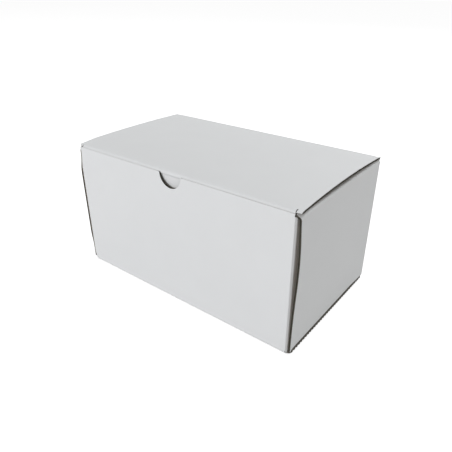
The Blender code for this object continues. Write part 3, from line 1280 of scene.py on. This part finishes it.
@dataclass
class ShadeSplitFoot:
    """The dark waved paper that lies open where the outer paper is split at the side walls' feet: a painted
    shade along the foot.

    Args:
        tray: the tray whose side walls it follows.
        radius: radius of its bend round the foot.
        foot: height of its lower run.
        out: how far it stands out from the wall.
        inner: how far outside the floor's edge it starts.
        lip: height up to which it stands out.
        tuck, tuck_heights: how far inside the wall its top runs, and how far above the split.
        margin: how far it stops short of the floor's edges.
        wave: height of its waves.
        steps: how many stretches it has along the wall.
        seen_height: a height at which its outside faces outwards.
    """

    tray: Tray
    radius: float = 0.4 * MM
    foot: float = 0.38 * MM
    out: float = 0.25 * MM
    inner: float = 0.3 * MM
    lip: float = 3.4 * MM
    tuck: float = 0.1 * MM
    tuck_heights: tuple[float, ...] = (0.2, 1.2)
    margin: float = 0.2 * MM
    wave: float = 0.26 * MM
    steps: int = 276
    seen_height: float = 4 * MM

    def fold_sheet(self) -> FoldedSheet:
        """Return the waved paper of both walls.

        Returns:
            The sheet, as thick as one paper.
        """
        plan, board = self.tray.plan, self.tray.plan.board
        sheet = FoldedSheet(board)
        out = plan.side_plane + self.out
        corner = arc((out - self.radius, self.foot + self.radius), self.radius, -QUARTER, 0, steps=5)
        profile = [(plan.floor_x + self.inner, self.foot), *corner]
        profile += [(out, plan.fold_top), (out, self.lip)]
        shade_split, tucked = self.tray.split_height, plan.side_plane - self.tuck
        profile += [(tucked, shade_split + above * MM) for above in self.tuck_heights]
        reach = plan.floor_y - self.margin
        columns = [-reach + 2 * reach * i / self.steps for i in range(self.steps + 1)]
        for side in Side:

            def point(line: tuple[float, float], y: float) -> SheetPoint:
                """Return the waved paper's point.

                Args:
                    line: outwards and up.
                    y: its place along the depth.

                Returns:
                    The point, on the wave.
                """
                wave = self.wave * math.sin(2 * math.pi * y / board.flute_pitch)
                place = self.tray.outer_place(side, line[0], y, line[1])
                return SheetPoint(place, y, wave + board.paper / 2, wave - board.paper / 2)

            sheet.add_grid(profile, columns, point)
        sheet.close(outside=(1, 0, 0), near=(plan.side_plane, 0, self.seen_height))
        return sheet


class LidLine(NamedTuple):
    """One line across the lid.

    Args:
        y, z: its place.
        crown: its share of the lid's crown.
        trim: how far its ends are trimmed.
        left, right: how far it reaches to each side.
    """

    y: float
    z: float
    crown: float
    trim: float
    left: float
    right: float


@dataclass
class Lid:
    """The lid panel with its ears and tuck flap, one folded sheet.

    Args:
        plan: the box's places.
        crown_left, crown_right: how far the lid's side edges arch upwards.
        ear_front: how far forward the ears reach.
        ear_sag, ear_crush: how far their front edges hang down, and are crushed on top and below.
        cut_left, cut_right: the share of its length by which each ear's outer corner is cut back.
        fold_tuck: how far past upright the front fold is pressed in.
        fold_left, fold_height: the fold's left end, and how far below its start it is that wide.
        press_step, press_steps: the flap's straight steps behind the fold.
        ease_step, ease_steps: its steps from there to the flap's lean.
        fold_run: how much of the flap's length the fold takes up.
        ear_left, left_reach: where the left ear starts, and how far left the panel reaches.
        left_droop, droop_x: how far the left front corner hangs, and from where.
        droop_reach, droop_span: how far behind the fold it starts to hang, and over what length.
        heel, heel_reach, heel_drop: the corner behind the hinge's crease: start, length and bend.
        hinge_pinch, crush_fade: how far the board is crushed at the crease, and how that fades out.
    """

    plan: BoxPlan
    crown_left: float = 0.0010
    crown_right: float = 0.0022
    ear_front: float = 0.0571
    ear_sag: float = 0.00055
    ear_crush: tuple[float, float] = (0.4 * MM, 0.35 * MM)
    cut_left: float = 0.9
    cut_right: float = 0.06
    fold_tuck: float = math.radians(35)
    fold_left: float = 0.0944
    fold_height: float = 0.5 * MM
    press_step: float = 0.45 * MM
    press_steps: int = 2
    ease_step: float = 0.14 * MM
    ease_steps: int = 5
    fold_run: float = 1.95 * MM
    ear_left: float = 0.09455
    left_reach: float = 0.0993
    left_droop: float = 0.0007
    droop_x: Ramp = Ramp(86 * MM, 12 * MM)
    droop_reach: float = 16 * MM
    droop_span: float = 14 * MM
    heel: float = 0.0006
    heel_reach: float = 0.0021
    heel_drop: float = 0.0009
    hinge_pinch: float = 0.0014
    crush_fade: float = 1.5 * MM
    sheet: FoldedSheet = field(init=False)

    def __post_init__(self) -> None:
        """Start the sheet."""
        self.sheet = FoldedSheet(self.plan.board)

    def lines(self) -> list[LidLine]:
        """Return the lines across the lid.

        Returns:
            The lines, from the hinge's crease to the flap's end.
        """
        plan = self.plan
        floor_y, front, flap_x = plan.floor_y, plan.front_fold_start, plan.flap_x
        crushed = floor_y - self.hinge_pinch
        behind = divided([floor_y, floor_y - self.heel, crushed], steps=7)[:-1]
        made = []
        for y in behind + divided([crushed, front], steps=30)[:-1]:
            reach = plan.lid_x if y <= floor_y - self.heel + WELD_DISTANCE else plan.wall_end
            crown = swell((floor_y - y) / (floor_y - front))
            made.append(LidLine(y, plan.lid_plane, crown, 0.0, reach, reach))
        past_upright = math.pi + self.fold_tuck
        for y, z in arc((front, plan.wall_top), plan.board.fold_radius, QUARTER, past_upright, steps=15):
            wide = z > plan.wall_top - self.fold_height
            reaches = (self.fold_left, plan.fold_x) if wide else (flap_x, flap_x)
            made.append(LidLine(y, z, 0.0, 0.0, *reaches))
        y, z = made[-1][:2]
        bend = plan.flap_lean - self.fold_tuck
        ease = [self.fold_tuck + bend * (i + 0.5) / self.ease_steps for i in range(self.ease_steps)]
        steps = [(self.fold_tuck, self.press_step)] * self.press_steps
        for angle, length in steps + [(angle, self.ease_step) for angle in ease]:
            y, z = y + length * math.sin(angle), z - length * math.cos(angle)
            made.append(LidLine(y, z, 0.0, 0.0, flap_x, flap_x))
        length = plan.flap_length - self.fold_run
        straight = [(along, 0.0) for along in divided([0, length - plan.flap_corner], steps=6)[1:]]
        for along, trim in straight + rounded_end(length, plan.flap_corner):
            place = (y + along * math.sin(plan.flap_lean), z - along * math.cos(plan.flap_lean))
            made.append(LidLine(*place, 0.0, trim, flap_x, flap_x))
        return made

    def fold_sheet(self) -> FoldedSheet:
        """Return the folded sheet with all its panels.

        Returns:
            The sheet, closed and settled.
        """
        plan = self.plan
        half = plan.board.half
        lines = self.lines()
        travelled = runs([line[:2] for line in lines], 0.0)
        keys = [0, plan.flap_x, self.fold_left, self.ear_left, plan.wall_end, plan.fold_x, plan.ear_x]
        columns = mirrored(divided(keys, steps=22) + divided([plan.ear_x, plan.lid_x], steps=3)[1:])

        def point(row: int, x: float) -> SheetPoint:
            """Return the lid's point.

            Args:
                row: its line's number.
                x: its column.

            Returns:
                The point, on the crown, and crushed at the hinge.
            """
            y, z, crown_share, trim = lines[row][:4]
            crown = self.crown_left + (self.crown_right - self.crown_left) * (x / plan.lid_x + 1) / 2
            share = 1 - min(1.0, travelled[row] / self.hinge_pinch)
            closeness = smooth((plan.wall_end - abs(x)) / self.crush_fade)
            bottom = -half + closeness * share**2 * plan.board.hollow
            co = Vector((x * (1 - trim / plan.flap_x), y, z + crown * crown_share))
            return SheetPoint(co, travelled[row], half, bottom)

        def keep(i: int, j: int) -> bool:
            """Keep each strip to its reach."""
            return -lines[i].left < middle(columns, j) < lines[i].right

        self.sheet.add_grid(range(len(lines)), columns, point, keep)
        start = next(run for line, run in zip(lines, travelled) if line.right == plan.fold_x)
        self.add_ear(Side.LEFT, self.ear_left, self.cut_left, columns, start)
        self.add_ear(Side.RIGHT, plan.ear_x, self.cut_right, columns, start)
        for side in Side:
            self.add_heel(side, columns, travelled[0])
        self.sheet.close(outside=(0, 0, 1), near=(0, 0, plan.height))
        self.settle()
        return self.sheet

    def settle(self) -> None:
        """Draw in the panel's left edge, and let its front corner hang."""
        plan = self.plan
        for vertex in self.sheet.mesh.verts:
            x, y, _ = vertex.co
            ahead = smooth((-y - plan.floor_y + self.droop_reach) / self.droop_span)
            vertex.co.z -= self.left_droop * (self.droop_x.at(-x) * ahead)
            if -x > self.ear_left:
                share = (-x - self.ear_left) / (plan.lid_x - self.ear_left)
                vertex.co.x = -self.ear_left - share * (self.left_reach - self.ear_left)

    def add_heel(self, side: Side, columns: Sequence[float], start: float) -> None:
        """Add the corner that carries the panel on behind the hinge's crease, beside its end.

        Args:
            side: which end of the lid.
            columns: the lid's column places.
            start: the run on the flat sheet at the hinge's crease.
        """
        plan = self.plan
        front = plan.floor_y - self.heel

        def point(back: float, out: float) -> SheetPoint:
            """Return the corner's point.

            Args:
                back, out: how far behind its front end, and outwards.

            Returns:
                The point, bent down towards the rear.
            """
            drop = self.heel_drop * (back / self.heel_reach) ** 2
            co = Vector((side.value * out, front + back, plan.lid_plane - drop))
            return SheetPoint(co, start + self.heel - back, plan.board.half, -plan.board.half)

        outer = [out for out in columns if out >= plan.fold_x - WELD_DISTANCE]
        self.sheet.add_grid(divided([0, self.heel, self.heel_reach], steps=4), outer, point)

    def add_ear(self, side: Side, inner: float, cut: float, columns: Sequence[float], start: float) -> None:
        """Add the ear that carries the panel on beside the end of the front fold.

        Args:
            side: which end of the lid.
            inner: where across the width the ear begins.
            cut: the share of its length by which its outer corner is cut back.
            columns: the lid's column places.
            start: the run on the flat sheet at which the ear starts.
        """
        plan = self.plan
        length = self.ear_front + plan.front_fold_start
        half = plan.board.half
        above, below = self.ear_crush

        def point(forward: float, out: float) -> SheetPoint:
            """Return the ear's point.

            Args:
                forward: the share of its length.
                out: how far outwards.

            Returns:
                The point, hanging and crushed towards the front edge.
            """
            ahead = length * forward * (1 - cut * (out - inner) / (plan.lid_x - inner))
            sag = (ahead / length) ** 2
            hanging = plan.lid_plane - self.ear_sag * sag
            co = Vector((side.value * out, plan.front_fold_start - ahead, hanging))
            return SheetPoint(co, start + ahead, half - above * sag, below * sag - half)

        outer = [out for out in columns if out >= inner - WELD_DISTANCE]
        self.sheet.add_grid(divided([0, 1], steps=5), outer, point)


@dataclass
class Crease:
    """The outer paper that runs on from the back wall into the lid, and bends as the lid opens.

    Args:
        plan: the box's places.
        steps: how many stretches its bend is cut into.
        strips: how many its width is, from the middle to each end.
    """

    plan: BoxPlan
    steps: int = 16
    strips: int = 12

    def build(self) -> bpy.types.Object:
        """Return the crease as a thin closed shell.

        Returns:
            The piece.
        """
        plan = self.plan
        outer = plan.board.fold_inner_radius + plan.board.caliper
        places = mirrored(divided([0, plan.wall_end], self.strips))
        shape = bmesh.new()
        place = shape.verts.layers.float.new("flute_place")
        grids = []
        for radius in (outer, outer - plan.board.paper):
            bend = arc((plan.floor_y, plan.wall_top), radius, 0, QUARTER, self.steps)
            grids.append([[shape.verts.new((x, y, z)) for x in places] for y, z in bend])
            for i, line in enumerate(grids[-1]):
                for vertex in line:
                    vertex[place] = plan.depth / 2 + plan.height + outer * QUARTER * i / self.steps
        top, under = grids
        last, width = self.steps, len(places) - 1
        for i in range(last):
            for j in range(width):
                for grid in grids:
                    shape.faces.new((grid[i][j], grid[i][j + 1], grid[i + 1][j + 1], grid[i + 1][j]))
            for j in (0, width):
                shape.faces.new((top[i][j], top[i + 1][j], under[i + 1][j], under[i][j]))
        for i in (0, last):
            for j in range(width):
                shape.faces.new((top[i][j], top[i][j + 1], under[i][j + 1], under[i][j]))
        mesh = bpy.data.meshes.new("lid_crease")
        write_out(shape, mesh)
        return new_object("lid_crease", mesh)


class Grain(NamedTuple):
    """The scale, detail and roughness of a noise."""

    scale: float
    detail: float
    roughness: float

    def on(self, nodes: NodeTree, at: Socket) -> Socket:
        """Return the noise's value at these coordinates."""
        noise = {"Scale": self.scale, "Detail": self.detail, "Roughness": self.roughness}
        return nodes.out("ShaderNodeTexNoise", Vector=at, **noise)


@dataclass(frozen=True)
class Paper:
    """What the finishes of all the box's papers share.

    Args:
        name: the material's name.
        colour: its main colour.
        roughness, specular: how its surface takes the light.
        relief, relief_depth: strength and depth of its bumps.
        flute_pitch: distance from one flute to the next.
    """

    name: str
    colour: Triple
    roughness: float
    specular: float
    relief: float
    relief_depth: float
    flute_pitch: float = 0.0032

    def make(self) -> bpy.types.Material:
        """Return the material.

        Returns:
            The material, on coordinates that move with the piece.
        """
        material = bpy.data.materials.new(self.name)
        material.use_nodes = True
        nodes = NodeTree(material.node_tree)
        at = nodes.add("ShaderNodeTexCoord").outputs["Object"]
        colour, height = self.paint(nodes, at)
        relief = {"Strength": self.relief, "Distance": self.relief_depth, "Height": height}
        surface = material.node_tree.nodes["Principled BSDF"]
        nodes.put(surface, "Base_Color", colour)
        nodes.put(surface, "Normal", nodes.out("ShaderNodeBump", **relief))
        nodes.put(surface, "Roughness", self.roughness)
        nodes.put(surface, "Specular_IOR_Level", self.specular)
        return material

    def paint(self, nodes: NodeTree, at: Socket) -> tuple[Socket, Socket]:
        """Return the paper's colour and height, which each kind of paper gives."""
        raise NotImplementedError

    def washboard(self, nodes: NodeTree) -> Socket:
        """Return the wave from -1 to 1 that the flutes press into a paper, across the sheet's flutes."""
        place = nodes.add("ShaderNodeAttribute", {"attribute_name": "flute_place"}).outputs["Fac"]
        return nodes.math("SINE", nodes.math("MULTIPLY", place, 2 * math.pi / self.flute_pitch))


@dataclass(frozen=True)
class OuterPaper(Paper):
    """Smooth white outer paper: matt, with faint mottling, fibres and the flutes just showing through.

    Args:
        colour, roughness, specular, relief, relief_depth: as in every Paper.
        cloud, fibre: the mottling and the fibres.
        cloud_tone, fibre_tone: how much they change the colour.
        heights: how much the flutes, the fibres and the mottling stand out.
    """

    colour: Triple = (0.79, 0.80, 0.80)
    roughness: float = 0.58
    specular: float = 0.35
    relief: float = 0.35
    relief_depth: float = 0.00002
    cloud: Grain = Grain(45.0, 3.0, 0.55)
    fibre: Grain = Grain(1900.0, 4.0, 0.65)
    cloud_tone: float = 0.030
    fibre_tone: float = 0.028
    heights: Triple = (0.5, 0.35, 0.9)

    def paint(self, nodes: NodeTree, at: Socket) -> tuple[Socket, Socket]:
        """Return the paper's colour and height.

        Args:
            nodes: the material's nodes.
            at: the coordinates.

        Returns:
            The colour and the height.
        """
        cloud, fibre = self.cloud.on(nodes, at), self.fibre.on(nodes, at)
        terms = [(cloud, self.cloud_tone), (fibre, self.fibre_tone)]
        tone = nodes.weighted(*((nodes.math("SUBTRACT", value, 0.5), weight) for value, weight in terms))
        base = nodes.add("ShaderNodeRGB")
        base.outputs[0].default_value = (*self.colour, 1)
        tint = nodes.vector("SCALE", base.outputs[0], nodes.math("ADD", tone, 1.0))
        return tint, nodes.weighted(*zip((self.washboard(nodes), fibre, cloud), self.heights))


@dataclass(frozen=True)
class KraftPaper(Paper):
    """Brown paper of the board's inside and fluting: streaky fibres, dark and light flecks, matt.

    Args:
        colour, roughness, specular, relief, relief_depth: as in every Paper.
        dark: the colour of its dark flecks.
        stretch: how its fibres are drawn out.
        fibre, cloud: the fibres and the flecks.
        fibre_share, cloud_share: how they mix in the colour.
        dark_at, light_at: the mixture's values for the dark and the main colour.
        flute_height, fibre_height: how much the flutes and the fibres stand out.
    """

    colour: Triple = (0.31, 0.26, 0.20)
    roughness: float = 0.85
    specular: float = 0.2
    relief: float = 0.5
    relief_depth: float = 0.00003
    dark: Triple = (0.21, 0.175, 0.13)
    stretch: Triple = (0.35, 1.0, 1.0)
    fibre: Grain = Grain(1300.0, 5.0, 0.7)
    cloud: Grain = Grain(90.0, 4.0, 0.6)
    fibre_share: float = 0.6
    cloud_share: float = 0.4
    dark_at: float = 0.36
    light_at: float = 0.62
    flute_height: float = 1.6
    fibre_height: float = 0.8

    def paint(self, nodes: NodeTree, at: Socket) -> tuple[Socket, Socket]:
        """Return the paper's colour and height.

        Args:
            nodes: the material's nodes.
            at: the coordinates.

        Returns:
            The colour and the height.
        """
        fibre = self.fibre.on(nodes, nodes.out("ShaderNodeMapping", Vector=at, Scale=self.stretch))
        cloud = self.cloud.on(nodes, at)
        mixture = nodes.weighted((fibre, self.fibre_share), (cloud, self.cloud_share))
        ramp = nodes.add("ShaderNodeValToRGB", Fac=mixture)
        stops = ((self.dark_at, self.dark), (self.light_at, self.colour))
        for element, (position, colour) in zip(ramp.color_ramp.elements, stops):
            element.position = position
            element.color = (*colour, 1)
        height = nodes.weighted((self.washboard(nodes), self.flute_height), (fibre, self.fibre_height))
        return ramp.outputs[0], height


@dataclass(frozen=True)
class FlutingPaper(KraftPaper):
    """The waved paper between the papers: kraft brown, painted much darker to stand in for the shade inside
    the board's cut edges, and without the flutes' relief.

    Args:
        colour, dark, flute_height: as in the kraft paper.
    """

    # Partly the fluting's own kraft brown, partly painted shade: darkened for the shade between the papers
    # at the cut edges and the split foot.
    colour: Triple = (0.15, 0.14, 0.118)
    dark: Triple = (0.08, 0.073, 0.06)
    flute_height: float = 0.0


@dataclass(frozen=True)
class CutPaper(Paper):
    """Cut rims and hidden faces of the papers: brown, and painted darker to stand in for the shade on the
    cut edges, but white where the edge was pinched shut.

    Args:
        colour, roughness, specular, relief, relief_depth: as in every Paper.
        pinched: the white of a pinched edge.
        fibre: its fibres.
        least, spread: the darkest tone of the fibres, and how much lighter they get.
    """

    # Partly the cut board's own brown, partly painted shade: darkened to the shaded tone of the cut edges.
    colour: Triple = (0.16, 0.148, 0.125)
    roughness: float = 0.9
    specular: float = 0.2
    relief: float = 0.5
    relief_depth: float = 0.00003
    pinched: Triple = (0.74, 0.74, 0.73)
    fibre: Grain = Grain(2400.0, 4.0, 0.7)
    least: float = 0.8
    spread: float = 0.4

    def paint(self, nodes: NodeTree, at: Socket) -> tuple[Socket, Socket]:
        """Return the paper's colour and height.

        Args:
            nodes: the material's nodes.
            at: the coordinates.

        Returns:
            The colour and the height.
        """
        fibre = self.fibre.on(nodes, at)
        pinch = nodes.add("ShaderNodeAttribute", {"attribute_name": "pinch"}).outputs["Fac"]
        ends = {"n6": (*self.colour, 1), "n7": (*self.pinched, 1)}
        shade = nodes.add("ShaderNodeMix", {"data_type": "RGBA"}, Factor=pinch, **ends).outputs[2]
        level = nodes.math("ADD", self.least, nodes.math("MULTIPLY", fibre, self.spread))
        return nodes.vector("SCALE", shade, level), fibre


@dataclass(frozen=True)
class Lamp:
    """A square soft light.

    Args:
        name: its name.
        place: where it stands.
        size: its side.
        power: its power in watts.
        colour: its nearly white colour.
        aim: the point that it looks at, in the middle of the box.
    """

    name: str
    place: Triple
    size: float
    power: float
    colour: Triple
    aim: Triple = (0, 0, 0.05)

    def add(self) -> None:
        """Add the lamp to the scene."""
        lamp = bpy.data.lights.new(self.name, "AREA")
        lamp.size = self.size
        lamp.energy = self.power
        lamp.color = self.colour
        holder = bpy.data.objects.new(self.name, lamp)
        holder.location = self.place
        toward = Vector(self.aim) - Vector(self.place)
        holder.rotation_euler = toward.to_track_quat("-Z", "Y").to_euler()
        bpy.context.scene.collection.objects.link(holder)


@dataclass(frozen=True)
class Studio:
    """The plain pale floor, the soft lights and the camera.

    Args:
        azimuth, elevation, roll: where the camera looks from, in degrees.
        distance: from the camera to the point that it looks at.
        target: that point.
        lens, sensor: focal length and sensor width in millimetres.
        nearest: the nearest thing that the camera shows.
        ambient: the room's own light.
        lamps: the lamps: the main one in front, one behind and above, and a weak one to the right.
        floor_reach: half the floor's width.
        floor_tone, floor_glow: how light the floor is, and how much it glows to the camera.
        nook_samples, nook_reach, nook_dark, nook_open: the painted shade, how the floor's glow fades by
        ambient occlusion close beside and under the box.
    """

    azimuth: float = 37.84
    elevation: float = 28.157
    roll: float = -0.086
    distance: float = 0.349018
    target: Triple = (0.016565, -0.017778, 0.0527)
    lens: float = 36.563
    sensor: float = 36.0
    nearest: float = 0.01
    ambient: float = 0.30
    lamps: tuple[Lamp, ...] = (
        Lamp("key_light", (-1.30, -3.20, 0.55), 2.2, 93.5, (0.992, 0.993, 1.015)),
        Lamp("back_light", (0.10, 1.00, 1.25), 1.0, 11.5, (0.985, 0.995, 1.01)),
        Lamp("fill_light", (1.50, -0.10, 0.40), 0.9, 3.25, (1.0, 0.985, 0.97)),
    )
    floor_reach: float = 6.0
    floor_tone: float = 0.62
    floor_glow: float = 0.78
    # Painted shade: these set how the floor's glow to the camera fades with ambient occlusion beside and
    # under the box.
    nook_samples: int = 16
    nook_reach: float = 0.012
    nook_dark: float = 0.05
    nook_open: float = 0.4

    def set_camera(self) -> None:
        """Place the camera at the photograph's viewing angle."""
        a, e, c = (math.radians(angle) for angle in (self.azimuth, self.elevation, self.roll))
        back = Vector((math.sin(a) * math.cos(e), -math.cos(a) * math.cos(e), math.sin(e)))
        right = Vector((0, 0, 1)).cross(back).normalized()
        up = back.cross(right)
        turned_right = math.cos(c) * right + math.sin(c) * up
        turned_up = -math.sin(c) * right + math.cos(c) * up
        matrix = Matrix((turned_right, turned_up, back)).transposed().to_4x4()
        matrix.translation = Vector(self.target) + back * self.distance
        camera = bpy.data.objects.new("camera", bpy.data.cameras.new("camera"))
        camera.data.lens = self.lens
        camera.data.sensor_width = self.sensor
        camera.data.clip_start = self.nearest
        camera.matrix_world = matrix
        bpy.context.scene.collection.objects.link(camera)
        bpy.context.scene.camera = camera

    def add_floor(self) -> None:
        """Add the pale floor, which shows white with the box's shadow on it: partly a real shadow from the
        lamps, partly a painted shade where its glow fades beside and under the box.
        """
        mesh = bpy.data.meshes.new("studio_floor")
        reach = self.floor_reach
        corners = [(-reach, -reach, 0), (reach, -reach, 0), (reach, reach, 0), (-reach, reach, 0)]
        mesh.from_pydata(corners, [], [(0, 1, 2, 3)])
        floor = new_object("studio_floor", mesh, shaded=False)
        material = bpy.data.materials.new("studio_floor")
        material.use_nodes = True
        nodes = NodeTree(material.node_tree)
        surface = material.node_tree.nodes["Principled BSDF"]
        nodes.put(surface, "Base_Color", (self.floor_tone, self.floor_tone, self.floor_tone, 1))
        nodes.put(surface, "Roughness", 1.0)
        nodes.put(surface, "Specular_IOR_Level", 0.0)
        # Painted shade: ambient occlusion fades the floor's glow to the camera beside and under the box,
        # darkening it there.
        samples = {"samples": self.nook_samples}
        painted_shade_ao = nodes.add("ShaderNodeAmbientOcclusion", samples, Distance=self.nook_reach).outputs["AO"]
        limits = {"From_Min": self.nook_dark, "From_Max": self.nook_open}
        open_share = nodes.out("ShaderNodeMapRange", Value=painted_shade_ao, **limits)
        glow = nodes.math("MULTIPLY", open_share, self.floor_glow)
        strength = nodes.math("MULTIPLY", seen_directly(nodes), glow)
        glow = nodes.out("ShaderNodeEmission", Color=(1, 1, 1, 1), Strength=strength)
        both = nodes.out("ShaderNodeAddShader", n0=surface.outputs[0], n1=glow)
        nodes.put(material.node_tree.nodes["Material Output"], "Surface", both)
        mesh.materials.append(material)

    def light(self) -> None:
        """Light the room softly, brighter from the front left and above."""
        world = bpy.data.worlds.new("studio")
        bpy.context.scene.world = world
        world.use_nodes = True
        nodes = NodeTree(world.node_tree)
        background = world.node_tree.nodes["Background"]
        background.inputs["Color"].default_value = (1, 1, 1, 1)
        rest = nodes.math("MULTIPLY", seen_directly(nodes), 1 - self.ambient)
        nodes.put(background, "Strength", nodes.math("ADD", self.ambient, rest))
        for lamp in self.lamps:
            lamp.add()


def seen_directly(nodes: NodeTree) -> Socket:
    """Return 1 for what the camera sees itself, in a reflection or through glass, and 0 otherwise.

    Args:
        nodes: the nodes of a floor or a background.

    Returns:
        The value.
    """
    path = nodes.add("ShaderNodeLightPath").outputs
    either = nodes.math("MAXIMUM", path["Is Camera Ray"], path["Is Glossy Ray"])
    return nodes.math("MAXIMUM", either, path["Is Transmission Ray"])


def put_on(piece: bpy.types.Object, materials: Sequence[bpy.types.Material]) -> None:
    """Give a piece its materials and a line in the log.

    Args:
        piece: the finished piece.
        materials: in the order of its material indices.
    """
    if not piece.data.materials:
        for material in materials:
            piece.data.materials.append(material)
    LOG.info("%s: %d vertices, %d faces", piece.name, len(piece.data.vertices), len(piece.data.polygons))


def main() -> None:
    """Build the studio, then the tray, the lid and the crease between them."""
    logging.basicConfig(level=logging.INFO, format="%(name)s: %(message)s")
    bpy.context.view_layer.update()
    studio = Studio()
    studio.set_camera()
    studio.light()
    studio.add_floor()
    bpy.context.scene.view_settings.view_transform = "Standard"

    board = Board()
    plan = BoxPlan.from_frame(board)
    outer = OuterPaper("white_outer_paper").make()
    kraft = KraftPaper("kraft_inner_paper").make()
    cut = CutPaper("cut_paper").make()
    waved = FlutingPaper("fluting_paper").make()
    fluting = Fluting(board)
    for maker, body in ((Tray(plan), "tray"), (Lid(plan), "lid")):
        sheet = maker.fold_sheet()
        papers = sheet.papers(body + "_papers")
        put_on(papers, (outer, kraft, cut))
        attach(papers, body)
        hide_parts(body)
        waves = fluting.along(sheet, body + "_fluting", waved)
        put_on(waves, (waved,))
        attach(waves, body)
        sheet.mesh.free()
        if isinstance(maker, Tray):
            # The split foot's dark fluting is painted shade along the side walls' feet.
            opened = ShadeSplitFoot(maker).fold_sheet().shell("tray_split_fluting")
            put_on(opened, (waved,))
            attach(opened, body)
    crease = Crease(plan).build()
    put_on(crease, (outer,))
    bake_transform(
        crease, "tray", "lid", start=(0, plan.depth / 2, plan.wall_top), end=(0, plan.floor_y, plan.height)
    )


if __name__ == "__main__":
    main()
